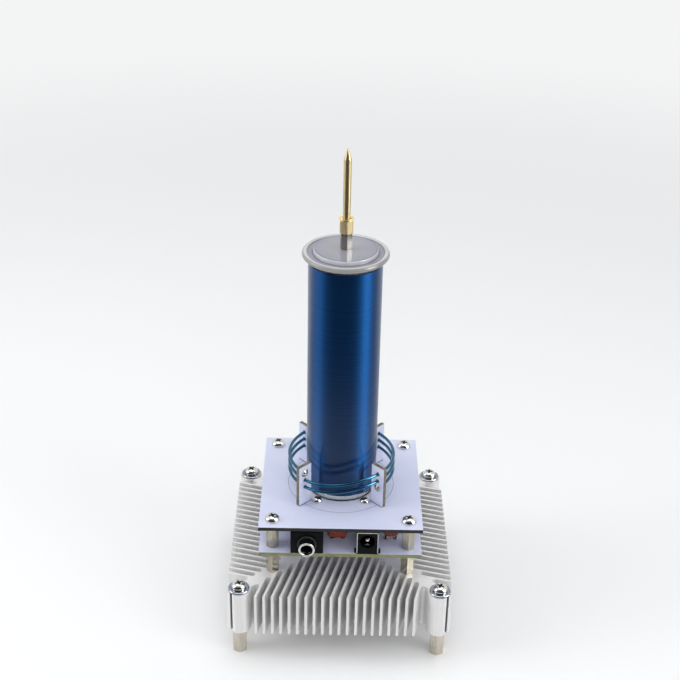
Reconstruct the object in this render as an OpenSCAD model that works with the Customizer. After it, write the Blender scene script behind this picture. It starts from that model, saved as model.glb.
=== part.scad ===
/* [Heat sink] */
// Distance between the screw bosses, as on a 92 mm fan
boss_spacing = 82.5; // [80:0.5:84]
// Distance from a boss's centre out to the line of the fin tips
boss_inset = 5.05; // [4.8:0.05:6]
// Height of the extruded heat sink
sink_h = 19.5; // [14:0.5:30]
// Thickness of a fin
fin_t = 1; // [0.8:0.1:1.4]
// Distance from one fin to the next along a side
fin_pitch = 3.43; // [3:0.01:4.6]
// Lean of the fins from square to their side, in degrees
fin_lean = 15; // [5:1:22]
// Room left at each end of a row of fins, beside the boss
fin_side_room = 2; // [1.5:0.1:3]
// Width of the four diagonal arms
arm_w = 4.6; // [4.4:0.1:7]
// How far an arm sits to one side of its diagonal
arm_shift = 0.3; // [0:0.05:0.4]
// Diameter of the solid core
core_d = 34; // [32:1:44]
// Outer diameter of a boss
boss_d = 9.8; // [9:0.1:10]
// Distance from a boss's centre to the flat on its outer side
boss_flat = 4.35; // [4:0.05:4.6]
// Hole through a boss
boss_hole_d = 4.4; // [3.6:0.1:5]
// Width of the slot along a boss
boss_slot_w = 1.4; // [1:0.1:3]

/* [Fasteners] */
// Width across the flats of the feet
foot_af = 5.5; // [5:0.5:6]
// Height of the feet
foot_h = 12; // [10:0.5:16]
// Width across the flats of the board standoffs
standoff_af = 5; // [4.5:0.5:6]
// Height of a board standoff without its stud
standoff_h = 11; // [9:0.5:16]
// Length of the stud below a board standoff
stud_len = 6; // [4:0.5:7]
// Thread diameter of the feet, standoffs and large screws
thread_d = 3; // [2.5:0.1:3]
// Head diameter of the large screws
head_d = 6; // [5.4:0.1:6.4]
// Head height of the large screws
head_h = 2.4; // [1.8:0.1:2.6]
// How far a heat sink screw reaches into its foot
sink_screw_grip = 4.7; // [4:0.1:5]
// Solid web in a foot between the threaded holes in its two ends
foot_web = 1; // [0.5:0.1:1.5]
// How much wider than the thread each foot is drilled from below
foot_hole_extra = 0.5; // [0.5:0.05:0.7]
// How far a board screw reaches into its standoff
board_screw_grip = 3.6; // [2:0.2:4]
// Outer diameter of the flat washers
washer_d = 8.8; // [8:0.1:10]
// Thickness of the flat washers
washer_t = 0.8; // [0.5:0.1:1.5]
// Thread diameter of the four coil base screws
base_screw_d = 2.5; // [2:0.1:2.6]
// Head diameter of the coil base screws
base_head_d = 4.2; // [4:0.1:4.8]
// Head height of the coil base screws
base_head_h = 1.7; // [1.4:0.1:2]
// Width across the flats of the coil base nuts
nut_af = 5; // [4.5:0.1:5.5]
// Height of the coil base nuts
nut_h = 2; // [1.6:0.1:2.4]
// How far a coil base screw shows below its nut
base_screw_spare = 1; // [0.5:0.1:1.5]

/* [Boards] */
// Width of the two square circuit boards
board_w = 67; // [66:0.5:72]
// Thickness of the circuit boards and of the coil brackets
board_t = 1.6; // [1.2:0.1:2]
// Distance from a mounting hole's centre to the board's edge
board_hole_edge = 5.5; // [5:0.1:7]

/* [Secondary coil] */
// Outer diameter of the clear tube
former_d = 29; // [27:0.5:30]
// Wall of the clear tube
former_wall = 2; // [1.5:0.25:3]
// Bare tube between the upper board and the winding
bare_below = 2.7; // [2:0.1:8]
// Height of the winding
winding_h = 101.8; // [60:0.1:140]
// Thickness of the winding
winding_t = 0.2; // [0.1:0.05:0.4]
// Bare tube between the winding and the top cap
bare_above = 1.8; // [1:0.1:8]
// Width of the flange below the upper board, outside the base screws' centres
base_flange_edge = 2.55; // [2.3:0.05:2.8]
// Thickness of the flange below the upper board
base_flange_t = 3; // [2.5:0.1:3.5]
// Height of the plugs that enter the tube's two ends
plug_h = 4; // [2:0.5:8]
// Distance of the base screws' centres from the tube
base_screw_out = 2.95; // [2.7:0.05:3.2]
// Angle of the base screws from the side axis, in degrees
base_screw_angle = 55; // [54:1:60]

/* [Top cap and terminal] */
// How far the cap stands out over the tube
cap_overhang = 2.7; // [1.5:0.1:5]
// Thickness of the cap at its rounded rim
cap_t = 2.3; // [1.6:0.1:4]
// Depth of the ring-shaped hollow inside the rim
cap_hollow = 0.6; // [0.2:0.1:0.8]
// How far the raised disc stays inside the tube's outer wall
cap_disc_in = 1.8; // [1:0.1:4]
// Height of the raised disc above the rim
cap_disc_h = 1; // [0.5:0.1:2]
// Width across the flats of the lower terminal post
post_af = 4.3; // [4.2:0.1:5]
// Height of the lower terminal post
post_h = 6.8; // [4.5:0.1:10]
// Width across the flats of the needle's collar
collar_af = 5.2; // [5:0.1:6]
// Height of the needle's collar
collar_h = 6.1; // [5.6:0.1:12]
// Diameter of the flared lip at the top of the collar
lip_d = 5.8; // [5.4:0.1:6.6]
// Height of the lip
lip_h = 0.8; // [0.8:0.1:1.6]
// Depth of the cone in the lip
mouth_depth = 1.6; // [0.8:0.1:2]
// Height of the stud that joins the lower post and the collar
collar_stud = 1.6; // [1.2:0.1:2]
// Diameter of the discharge needle
needle_d = 3; // [2.5:0.1:3.2]
// Length of the needle above its collar
needle_out = 27.9; // [15:0.1:40]
// Length of the needle's point
needle_point = 4.25; // [2:0.25:8]

/* [Primary coil] */
// Distance of the primary wire's middle from the tube
primary_out = 7.5; // [7:0.1:7.9]
// Thickness of the primary wire
primary_wire_d = 1.3; // [0.8:0.1:1.6]
// Height from one turn of the primary to the next
primary_pitch = 3.4; // [2.6:0.1:3.6]
// Height of the lowest turn above the upper board
primary_base = 8.3; // [5:0.1:9]
// Distance of the brackets from the winding
bracket_gap = 3.8; // [3.6:0.1:4.3]
// Width of a bracket
bracket_w = 6.8; // [6:0.1:8]
// Height of a bracket above its highest wire hole
bracket_over = 3.5; // [2.5:0.1:8]
// Width of the tab that holds a bracket in the board
tab_w = 3; // [2:0.1:4]

/* [Sockets] */
// Distance of the audio socket left of the middle
audio_x = 13.7; // [12.5:0.1:15]
// Width of the audio socket's body
audio_w = 13.4; // [12:0.1:14]
// Height of the audio socket's body
audio_h = 10.6; // [9:0.1:10.8]
// Length of the audio socket's body
audio_len = 12; // [10:0.1:13]
// Height of the audio socket's axis above its board
audio_axis_h = 4.5; // [4:0.1:5.5]
// Outer diameter of the audio socket's nose
audio_nose_d = 6.8; // [6:0.1:7.4]
// Length of the nose in front of the body
audio_nose_out = 4; // [2:0.1:6]
// Diameter of the audio plug's hole
audio_hole_d = 3.6; // [3.55:0.05:3.7]
// Distance of the power socket right of the middle
power_x = 11.1; // [10.5:0.1:13]
// Width of the power socket
power_w = 9; // [8.6:0.1:9.4]
// Height of the power socket
power_h = 10.8; // [10.4:0.1:10.9]
// Distance of the power socket's rear from the coil base nuts
power_nut_gap = 2.3; // [2:0.1:4]
// Height of the power socket's axis above its board
power_axis_h = 6.2; // [5.8:0.1:6.5]
// Diameter of the power plug's hole
power_hole_d = 6.4; // [6:0.1:6.6]
// Thickness of the power socket behind the plug's hole
power_rear_wall = 4.5; // [4:0.1:5.5]
// Diameter of the pin in the power socket
power_pin_d = 2; // [1.9:0.1:2.5]

/* [Driver parts] */
// Width of the middle film capacitor
film_w = 8.6; // [6:0.1:9]
// Width of the film capacitor on the right
film_right_w = 6.8; // [5.5:0.1:6.8]
// Thickness of the dipped film capacitors
film_t = 4; // [3:0.1:4.4]
// Height of the dipped film capacitors
film_h = 7; // [4:0.1:7.2]
// Diameter of the two electrolytic capacitors
can_d = 8; // [6:0.5:8.5]
// Height of the electrolytic capacitors
can_h = 9.5; // [7:0.5:10]
// Distance of the electrolytic capacitors from the coil base flange
can_gap = 2; // [1:0.1:3]
// Width of the power transistor
transistor_w = 15.8; // [15:0.1:16.5]
// Length of the power transistor's body
transistor_len = 20.6; // [20:0.1:21.5]
// Thickness of the power transistor
transistor_t = 5; // [4.6:0.1:5.4]
// Thickness of the heat-conducting pad
pad_t = 0.3; // [0.2:0.1:0.8]
// Distance between the transistor's three legs
leg_pitch = 5.45; // [5.3:0.05:5.5]
// Thickness of the leads of all the driver parts
lead_d = 0.7; // [0.5:0.1:0.9]
// How far the leads show below the driver board
lead_below = 1.4; // [0.8:0.1:2]

/* [Fits] */
// Radial gap between a thread or shank and its hole
thread_gap = 0.05; // [0.03:0.01:0.1]
// Gap round a piece that is pushed into place
fit_gap = 0.03; // [0.01:0.01:0.08]
// Extra diameter of the drilled holes in the boards
drill_extra = 0.3; // [0.2:0.1:0.5]
// Radial gap between the primary wire and its holes
wire_gap = 0.2; // [0.1:0.05:0.3]

/* [Hidden] */
$fn = 64;
// Wire holes in a bracket, one above the other
primary_levels = 3;

// Heights from the surface up
sink_z = foot_h;
sink_top = sink_z + sink_h;
driver_z = sink_top + standoff_h;
driver_top = driver_z + board_t;
coil_z = driver_top + standoff_h;
coil_top = coil_z + board_t;
winding_z = coil_top + bare_below;
former_top = winding_z + winding_h + bare_above;
cap_top = former_top + cap_t;
post_z = cap_top + cap_disc_h;
collar_z = post_z + post_h;
collar_top = collar_z + collar_h;

// Widths and radii that follow from others
sink_w = boss_spacing + 2 * boss_inset;
board_hole_spacing = board_w - 2 * board_hole_edge;
base_screw_r = former_d / 2 + base_screw_out;
base_flange_d = 2 * (base_screw_r + base_flange_edge);
cap_d = former_d + 2 * cap_overhang;
cap_disc_d = former_d - 2 * cap_disc_in;
primary_r = former_d / 2 + primary_out;
bracket_in = former_d / 2 + winding_t + bracket_gap;
bracket_h = primary_base + (primary_levels - 1) * primary_pitch + bracket_over;
nut_reach = base_screw_r * sin(base_screw_angle) + nut_af / 2 / cos(30);
power_len = board_w / 2 - nut_reach - power_nut_gap;
power_hole_depth = power_len - power_rear_wall;
// Gap between two fins, square to the fins
slot_w = fin_pitch * cos(fin_lean) - fin_t;
fins = floor((boss_spacing - boss_d - 2 * fin_side_room) / fin_pitch);
board_hole_d = thread_d + drill_extra;
former_r = former_d / 2;
plug_r = former_r - former_wall - fit_gap;
corner_signs = [[-1, -1], [1, -1], [1, 1], [-1, 1]];

module at_corners(spacing) {
    for (c = corner_signs)
        translate([c.x * spacing / 2, c.y * spacing / 2, 0])
            children();
}

// ---- Heat sink ----

// Where the middle line of fin i, or of a gap at i + 0.5, meets the front edge
function fin_x(i) = (i - fins / 2) * fin_pitch;
// Distance in from the edge at which a gap's round end comes near an arm or the core
function to_left_arm(x, room) =
    (x + sink_w / 2 - sqrt(2) * room) / (cos(fin_lean) - sin(fin_lean));
function to_right_arm(x, room) =
    (sink_w / 2 - x - sqrt(2) * room) / (cos(fin_lean) + sin(fin_lean));
function to_core(x, room) =
    let (q = x * sin(fin_lean) - sink_w / 2 * cos(fin_lean),
        rest = q * q - x * x - pow(sink_w / 2, 2) + room * room)
    rest > 0 ? -q - sqrt(rest) : sink_w;
function gap_end(x) = min(
    to_left_arm(x, arm_w / 2 + arm_shift + slot_w / 2),
    to_right_arm(x, arm_w / 2 - arm_shift + slot_w / 2),
    to_core(x, core_d / 2 + slot_w / 2));
function inward(x, s) = [x + s * sin(fin_lean), s * cos(fin_lean) - sink_w / 2];

module fin_gap(x) {
    translate([x, -sink_w / 2])
        rotate(-fin_lean) {
            translate([-slot_w / 2, -2])
                square([slot_w, gap_end(x) + 2]);
            translate([0, gap_end(x)])
                circle(d = slot_w, $fn = 24);
        }
}

// The fins of the front side, between the two front arms
module fin_row() {
    left_x = fin_x(-0.5) - 0.45 * slot_w;
    right_x = fin_x(fins - 0.5) + 0.45 * slot_w;
    difference() {
        polygon([inward(left_x, 0), inward(right_x, 0), inward(right_x, to_right_arm(right_x, 0)),
            [0, 0], inward(left_x, to_left_arm(left_x, 0))]);
        for (i = [-1 : fins - 1])
            fin_gap(fin_x(i + 0.5));
    }
}

module arm_and_boss() {
    reach = boss_spacing / sqrt(2);
    rotate(-45)
        translate([0, arm_shift - arm_w / 2])
            square([reach - boss_hole_d / 2, arm_w]);
    rotate(-45)
        translate([reach, 0])
            circle(d = boss_d);
}

// Hole, slot and flat of one boss
module boss_cut() {
    rotate(-45)
        translate([boss_spacing / sqrt(2), 0]) {
            circle(d = boss_hole_d);
            translate([0, -boss_slot_w / 2])
                square([boss_d, boss_slot_w]);
            translate([boss_flat, -boss_d])
                square([boss_d, 2 * boss_d]);
        }
}

module sink_profile() {
    difference() {
        union() {
            circle(d = core_d);
            for (a = [0 : 90 : 270])
                rotate(a) {
                    fin_row();
                    arm_and_boss();
                }
        }
        for (a = [0 : 90 : 270])
            rotate(a)
                boss_cut();
    }
}

module heat_sink() {
    color([0.83, 0.82, 0.81])
        difference() {
            translate([0, 0, sink_z])
                linear_extrude(sink_h)
                    sink_profile();
            at_corners(board_hole_spacing)
                translate([0, 0, sink_top - stud_len - 1])
                    cylinder(d = thread_hole_d, h = stud_len + 2);
            translate([0, transistor_screw_y, sink_top - transistor_screw_grip - 1])
                cylinder(d = thread_hole_d, h = transistor_screw_grip + 2);
        }
}

// ---- Fasteners ----

// Hexagonal bar on the XY plane with its corners turned down at both ends, and one corner to the front
module hex_bar(af, h) {
    flat_r = af / 2;
    corner_r = flat_r / cos(30);
    cut = corner_r - flat_r;
    intersection() {
        rotate(30)
            cylinder(r = corner_r, h = h, $fn = 6);
        rotate_extrude()
            polygon([[0, 0], [flat_r, 0], [corner_r, cut], [corner_r, h - cut], [flat_r, h], [0, h]]);
    }
}

// Round hole through a plate that stands on the XY plane
module drill(d, h) {
    translate([0, 0, -1])
        cylinder(d = d, h = h + 2);
}

thread_hole_d = thread_d + 2 * thread_gap;

// Shares of a screw head: its straight edge, and the floor, length and width of its cross
head_edge = 0.45;
cross_floor = 0.4;
cross_len = 0.56;
cross_w = 0.15;

// Screw with its head on the XY plane and its shank below
module pan_screw(d, len, hd, hh) {
    dome_h = hh * (1 - head_edge);
    dome_r = (pow(hd / 2, 2) + pow(dome_h, 2)) / (2 * dome_h);
    difference() {
        intersection() {
            cylinder(d = hd, h = hh);
            translate([0, 0, hh - dome_r])
                sphere(r = dome_r);
        }
        for (a = [0, 90])
            rotate(a)
                translate([-hd * cross_len / 2, -hd * cross_w / 2, hh * cross_floor])
                    cube([hd * cross_len, hd * cross_w, hh]);
    }
    translate([0, 0, -len])
        cylinder(d = d, h = len);
}

foot_hole_d = thread_d + foot_hole_extra;
foot_screw_room = sink_screw_grip + 0.5;
foot_hole_depth = foot_h - foot_screw_room - foot_web;

module foot_standoffs() {
    color([0.79, 0.76, 0.68])
        at_corners(boss_spacing)
            difference() {
                hex_bar(foot_af, foot_h);
                translate([0, 0, -1])
                    cylinder(d = foot_hole_d, h = foot_hole_depth + 1);
                translate([0, 0, foot_h - foot_screw_room])
                    cylinder(d = thread_hole_d, h = foot_screw_room + 1);
            }
}

module heat_sink_washers() {
    color([0.78, 0.8, 0.82])
        at_corners(boss_spacing)
            translate([0, 0, sink_top])
                difference() {
                    cylinder(d = washer_d, h = washer_t);
                    drill(board_hole_d, washer_t);
                }
}

module heat_sink_screws() {
    color([0.86, 0.86, 0.85])
        at_corners(boss_spacing)
            translate([0, 0, sink_top + washer_t])
                pan_screw(thread_d, sink_h + washer_t + sink_screw_grip, head_d, head_h);
}

// Standoff with a stud below and a threaded hole above
module studded_standoff() {
    difference() {
        hex_bar(standoff_af, standoff_h);
        translate([0, 0, standoff_h - stud_len])
            cylinder(d = thread_hole_d, h = stud_len + 1);
    }
    translate([0, 0, -stud_len])
        cylinder(d = thread_d, h = stud_len + 1);
}

module board_standoffs() {
    color([0.79, 0.76, 0.68])
        at_corners(board_hole_spacing)
            for (z = [sink_top, driver_top])
                translate([0, 0, z])
                    studded_standoff();
}

module board_screws() {
    color([0.86, 0.86, 0.85])
        at_corners(board_hole_spacing)
            translate([0, 0, coil_top])
                pan_screw(thread_d, board_t + board_screw_grip, head_d, head_h);
}

// ---- Boards ----

module plain_board() {
    difference() {
        translate([-board_w / 2, -board_w / 2, 0])
            cube([board_w, board_w, board_t]);
        at_corners(board_hole_spacing)
            drill(board_hole_d, board_t);
    }
}

module driver_board() {
    color([0.86, 0.87, 0.95])
        translate([0, 0, driver_z])
            difference() {
                plain_board();
                for (p = lead_sites)
                    translate(p)
                        drill(lead_d + drill_extra, board_t, $fn = 16);
                for (p = axial_sites, s = [-1, 1])
                    translate([p.x, p.y + s * axial_span / 2])
                        drill(lead_d + drill_extra, board_t, $fn = 16);
                for (i = [-1, 0, 1])
                    translate([i * leg_pitch, transistor_leg_y])
                        drill(transistor_leg_w * sqrt(2) + drill_extra, board_t, $fn = 16);
            }
}

module coil_board() {
    color([0.87, 0.88, 0.96])
        translate([0, 0, coil_z])
            difference() {
                plain_board();
                drill(former_d + 2 * fit_gap, board_t);
                at_base_screws()
                    drill(base_screw_d + drill_extra, board_t);
                for (a = bracket_angles)
                    rotate(a)
                        translate([tab_x - fit_gap, -board_t / 2 - fit_gap, -1])
                            cube([tab_w + 2 * fit_gap, board_t + 2 * fit_gap, board_t + 2]);
            }
}

// ---- Secondary coil ----

module at_base_screws() {
    for (a = [base_screw_angle, 180 - base_screw_angle, 180 + base_screw_angle, -base_screw_angle])
        rotate(a)
            translate([base_screw_r, 0, 0])
                children();
}

module coil_former() {
    color([0.85, 0.92, 0.96, 0.5])
        translate([0, 0, coil_z])
            difference() {
                cylinder(d = former_d, h = former_top - coil_z);
                drill(former_d - 2 * former_wall, former_top - coil_z);
            }
}

module secondary_winding() {
    color([0.08, 0.28, 0.52])
        translate([0, 0, winding_z])
            difference() {
                cylinder(d = former_d + 2 * winding_t, h = winding_h);
                drill(former_d, winding_h);
            }
}

module coil_base_flange() {
    color([0.85, 0.92, 0.96, 0.5])
        difference() {
            translate([0, 0, coil_z - base_flange_t]) {
                cylinder(d = base_flange_d, h = base_flange_t);
                cylinder(r = plug_r, h = base_flange_t + plug_h);
            }
            at_base_screws()
                translate([0, 0, coil_z - base_flange_t])
                    drill(base_screw_d + drill_extra, base_flange_t);
        }
}

module coil_base_screws() {
    color([0.86, 0.86, 0.85])
        at_base_screws()
            translate([0, 0, coil_top])
                pan_screw(base_screw_d, board_t + base_flange_t + nut_h + base_screw_spare,
                    base_head_d, base_head_h);
}

module coil_base_nuts() {
    color([0.79, 0.76, 0.68])
        at_base_screws()
            translate([0, 0, coil_z - base_flange_t - nut_h])
                difference() {
                    hex_bar(nut_af, nut_h);
                    drill(base_screw_d + 2 * thread_gap, nut_h);
                }
}

// ---- Top cap and terminal ----

disc_chamfer = 0.3;
post_grip = 2.4;
post_turn = 10;
lip_edge = 0.4;
lip_neck = 0.2;
needle_len = collar_h - collar_stud + needle_out;
needle_chamfer = 0.3;
needle_tip_r = 0.12;

module top_cap() {
    disc_r = cap_disc_d / 2;
    disc_top = cap_t + cap_disc_h;
    color([0.88, 0.92, 0.95, 0.6])
        difference() {
            translate([0, 0, former_top])
                rotate_extrude() {
                    square([(cap_d - cap_t) / 2, cap_t - cap_hollow]);
                    translate([(cap_d - cap_t) / 2, cap_t / 2])
                        circle(d = cap_t);
                    polygon([[0, 0], [disc_r, 0], [disc_r, disc_top - disc_chamfer],
                        [disc_r - disc_chamfer, disc_top], [0, disc_top]]);
                    translate([0, -plug_h])
                        square([plug_r, plug_h + 1]);
                }
            translate([0, 0, former_top - plug_h])
                drill(thread_hole_d, plug_h + cap_t + cap_disc_h);
        }
}

// The screw comes up from inside the tube, through the cap and into the post
module terminal_screw() {
    color([0.86, 0.86, 0.85])
        translate([0, 0, former_top - plug_h])
            mirror([0, 0, 1])
                pan_screw(thread_d, plug_h + cap_t + cap_disc_h + post_grip, head_d, head_h);
}

module terminal_post() {
    color([0.8, 0.78, 0.72])
        translate([0, 0, post_z])
            difference() {
                union() {
                    rotate(post_turn)
                        hex_bar(post_af, post_h);
                    translate([0, 0, post_h - 1])
                        cylinder(d = thread_d, h = collar_stud + 1);
                }
                translate([0, 0, -1])
                    cylinder(d = thread_hole_d, h = post_grip + 1 + thread_gap);
            }
}

module needle_collar() {
    neck_r = collar_af / 2 - lip_neck;
    color([0.76, 0.62, 0.32])
        translate([0, 0, collar_z])
            difference() {
                union() {
                    hex_bar(collar_af, collar_h - lip_h);
                    rotate_extrude()
                        polygon([[0, 1], [neck_r, 1], [neck_r, collar_h - lip_h + lip_neck],
                            [lip_d / 2, collar_h - lip_edge], [lip_d / 2, collar_h], [0, collar_h]]);
                }
                translate([0, 0, -1])
                    cylinder(d = thread_hole_d, h = collar_stud + 1);
                cylinder(d = needle_d + 2 * thread_gap, h = collar_h + 1);
                translate([0, 0, collar_h - mouth_depth])
                    cylinder(d1 = needle_d + 2 * thread_gap, d2 = lip_d - 2 * lip_edge, h = mouth_depth);
            }
}

module discharge_needle() {
    color([0.78, 0.65, 0.36])
        translate([0, 0, collar_z + collar_stud])
            rotate_extrude()
                polygon([[0, 0], [needle_d / 2 - needle_chamfer, 0], [needle_d / 2, needle_chamfer],
                    [needle_d / 2, needle_len - needle_point], [needle_tip_r, needle_len], [0, needle_len]]);
}

// ---- Primary coil ----

bracket_angles = [45, 135, 225, 315];
tab_x = bracket_in + (bracket_w - tab_w) / 2;
primary_z = coil_top + primary_base;
primary_travel = (primary_levels - 1) * 360 + 270;
ring_step = 15;
ring_sides = 6;
solder_r = primary_wire_d / 2 + wire_gap + 0.5;
solder_top_r = 0.6 * solder_r;
solder_h = 0.5;

module bracket(angle) {
    color([0.86, 0.87, 0.94])
        rotate(angle)
            difference() {
                translate([0, -board_t / 2, 0]) {
                    translate([bracket_in, 0, coil_top])
                        cube([bracket_w, board_t, bracket_h]);
                    translate([tab_x, 0, coil_z])
                        cube([tab_w, board_t, board_t + 1]);
                }
                for (k = [0 : primary_levels - 1])
                    translate([primary_r, 0, primary_z + k * primary_pitch])
                        rotate([90, 0, 0])
                            cylinder(d = primary_wire_d + 2 * wire_gap, h = 2 * board_t, center = true);
            }
}

module bracket_front_left() {
    bracket(225);
}

module bracket_front_right() {
    bracket(315);
}

module bracket_back_left() {
    bracket(135);
}

module bracket_back_right() {
    bracket(45);
}

// The wire starts high at the front left bracket and runs clockwise, seen from above.
// It is level behind, and drops by one pitch in each span across the front.
function ease(u) = u * u * (3 - 2 * u);
function primary_height(t) =
    let (turn = floor(t / 360), u = (t - 360 * turn - 270) / 90)
    primary_z + primary_pitch * (primary_levels - 1 - turn - ease(max(0, u)));
function primary_point(t) =
    [primary_r * cos(225 - t), primary_r * sin(225 - t), primary_height(t)];
function primary_heading(t) = [sin(225 - t), -cos(225 - t), 0];
function straight_point(t, s) = primary_point(t) + s * primary_heading(t);

end_face = board_t / 2;
end_run = primary_wire_d - end_face;
primary_path = [
    straight_point(0, -end_face),
    straight_point(0, end_run),
    for (t = [ring_step : ring_step : primary_travel - ring_step]) primary_point(t),
    straight_point(primary_travel, -end_run),
    straight_point(primary_travel, end_face)
];

function unit(v) = v / norm(v);
function path_heading(p, i) =
    i == 0 ? unit(p[1] - p[0]) :
    i == len(p) - 1 ? unit(p[i] - p[i - 1]) :
    unit(unit(p[i + 1] - p[i]) + unit(p[i] - p[i - 1]));
function path_ring(p, i, r, n) =
    let (h = path_heading(p, i), side = unit(cross([0, 0, 1], h)), up = cross(h, side))
    [for (j = [0 : n - 1]) p[i] + r * (cos(360 * j / n) * side + sin(360 * j / n) * up)];

// Tube of n sides swept along the points p, as triangles
module swept_tube(p, r, n) {
    last = len(p) - 1;
    points = [for (i = [0 : last]) each path_ring(p, i, r, n)];
    side_faces = [for (i = [0 : last - 1], j = [0 : n - 1])
        let (a = i * n + j, b = i * n + (j + 1) % n)
        each [[a, b, b + n], [a, b + n, a + n]]];
    start_faces = [for (j = [1 : n - 2]) [0, j + 1, j]];
    end_faces = [for (j = [1 : n - 2]) [last * n, last * n + j, last * n + j + 1]];
    polyhedron(points, concat(side_faces, start_faces, end_faces));
}

// Least distance between two stretches of the wire at least half a turn apart
half_turn = 180 / ring_step;
primary_gap = min([for (i = [0 : len(primary_path) - 1 - half_turn])
    for (j = [i + half_turn : len(primary_path) - 1])
        norm(primary_path[i] - primary_path[j])]) - primary_wire_d;
echo(primary_gap_to_itself = primary_gap);

module primary_coil() {
    color([0.1, 0.42, 0.52])
        swept_tube(primary_path, primary_wire_d / 2, ring_sides);
}

// Domes of solder that cover the wire's two ends on the front brackets
module primary_solder_joints() {
    color([0.8, 0.8, 0.78])
        for (t = [0, primary_travel])
            translate([primary_point(t).x, primary_point(t).y, primary_height(t)])
                rotate(225 - t)
                    rotate([t == 0 ? -90 : 90, 0, 0])
                        translate([0, 0, end_face])
                            cylinder(r1 = solder_r, r2 = solder_top_r, h = solder_h);
}

// ---- Sockets ----

socket_front = -board_w / 2;
audio_z = driver_top + audio_axis_h;
audio_nose_in = 3;
audio_nose_len = audio_nose_in + audio_nose_out;
audio_countersink = 0.6;
audio_rear_wall = 1.2;
audio_bore_extra = 0.6;
audio_spring_w = 2.4;
audio_spring_t = 0.3;
audio_spring_room = 1;
audio_lead_x = 5;
audio_lead_front = 3;
audio_lead_rear = 9.5;
power_z = driver_top + power_axis_h;
power_frame_len = 3.4;
power_lip = 1.2;
power_pin_back = 1;
power_spring_w = 2.4;
power_spring_t = 0.3;
power_spring_drop = 0.5;
power_lead_in = 1;

// Round bar or hole along Y, from its rear end at y towards the front
module bar_to_front(y, d, len) {
    translate([0, y, 0])
        rotate([90, 0, 0])
            cylinder(d = d, h = len);
}

module audio_socket_body() {
    rear = audio_len - audio_rear_wall;
    color([0.07, 0.07, 0.08])
        translate([-audio_x, socket_front, audio_z])
            difference() {
                translate([-audio_w / 2, 0, -audio_axis_h])
                    cube([audio_w, audio_len, audio_h]);
                bar_to_front(audio_nose_in, audio_nose_d + 2 * fit_gap, audio_nose_in + 1);
                bar_to_front(rear, audio_hole_d + audio_bore_extra, audio_len);
                translate([-audio_spring_w / 2, audio_nose_in, 0])
                    cube([audio_spring_w, rear - audio_nose_in, audio_hole_d / 2 + audio_spring_room]);
            }
}

module audio_socket_nose() {
    color([0.8, 0.8, 0.78])
        translate([-audio_x, socket_front, audio_z])
            difference() {
                bar_to_front(audio_nose_in, audio_nose_d, audio_nose_len);
                bar_to_front(audio_nose_in + 1, audio_hole_d, audio_nose_len + 2);
                translate([0, audio_countersink - audio_nose_out, 0])
                    rotate([90, 0, 0])
                        cylinder(d1 = audio_hole_d, d2 = audio_hole_d + 4 * audio_countersink,
                            h = 2 * audio_countersink);
            }
}

// Leaf that presses on the plug from above, held in the body's rear wall
module audio_socket_spring() {
    w = audio_spring_w - 2 * fit_gap;
    color([0.8, 0.78, 0.7])
        translate([-audio_x - w / 2, socket_front + audio_nose_in + 1,
            audio_z + audio_hole_d / 2 + audio_spring_room - audio_spring_t])
            cube([w, audio_len - audio_rear_wall - audio_nose_in - 1, audio_spring_t]);
}

module power_socket_body() {
    color([0.05, 0.05, 0.06])
        translate([power_x, socket_front, power_z])
            difference() {
                union() {
                    translate([-power_w / 2, 0, -power_axis_h])
                        cube([power_w, power_frame_len, power_h]);
                    translate([-power_w / 2, 0, -power_axis_h])
                        cube([power_w, power_len, power_axis_h]);
                    bar_to_front(power_len, power_w - 0.4, power_len - 0.5);
                }
                bar_to_front(power_hole_depth, power_hole_d, power_hole_depth + 1);
                bar_to_front(power_len + 1, power_pin_d + 2 * fit_gap, power_len);
                translate([-power_spring_w / 2, power_lip, -power_hole_d / 2 - power_spring_drop])
                    cube([power_spring_w, power_hole_depth - power_lip, power_hole_d / 2]);
            }
}

module power_socket_pin() {
    color([0.82, 0.8, 0.74])
        translate([power_x, socket_front, power_z])
            bar_to_front(power_len, power_pin_d, power_len - power_pin_back);
}

// Leaf under the plug's sleeve, in its groove in the floor of the hole
module power_socket_spring() {
    w = power_spring_w - 2 * fit_gap;
    color([0.82, 0.8, 0.74])
        translate([power_x - w / 2, socket_front + power_lip + fit_gap,
            power_z - power_hole_d / 2 - power_spring_drop])
            cube([w, power_hole_depth - power_lip - 2 * fit_gap, power_spring_t]);
}

// ---- Driver parts ----

film_in = 11.2;
film_middle_x = -1.2;
film_middle = [film_middle_x, film_in - board_w / 2];
film_middle_z = driver_top + 0.5;
film_power_gap = 2.1;
film_right = [power_x + power_w / 2 + film_power_gap + film_right_w / 2, film_in - board_w / 2];
film_right_z = driver_top + 1.6;
film_lead_x = 2.2;
can_x = -base_flange_d / 2 - can_gap - can_d / 2;
can_y = 5.5;
can_sites = [[can_x, can_y], [can_x, -can_y]];
can_lead_y = 1.75;
chip_in = 8.5;
chip_y = 2;
chip_site = [board_w / 2 - chip_in, chip_y];
chip_size = [6.4, 9.4, 3.3];
chip_lift = 0.5;
chip_lead_pitch = 2.54;
chip_lead_out = 0.6;
chip_lead_z = 1.8;
axial_span = 10.2;
resistor_size = [2.4, 6.2];
axial_in = 11.5;
axial_y = board_w / 2 - axial_in;
axial_pitch = 4;
resistor_sites = [for (i = [-1 : 1]) [i * axial_pitch, axial_y]];
diode_size = [2.6, 5];
diode_x = -14;
diode_sites = [for (i = [0, 1]) [diode_x - i * axial_pitch, axial_y]];
transistor_y = -1;
transistor_screw_out = 6.2;
transistor_screw_y = transistor_y - transistor_screw_out;
transistor_screw_grip = 5;
transistor_leg_out = 2.6;
transistor_leg_y = transistor_y + transistor_len / 2 + transistor_leg_out;
transistor_leg_w = 1.1;
transistor_leg_t = 0.6;
pad_edge = 1;

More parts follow.
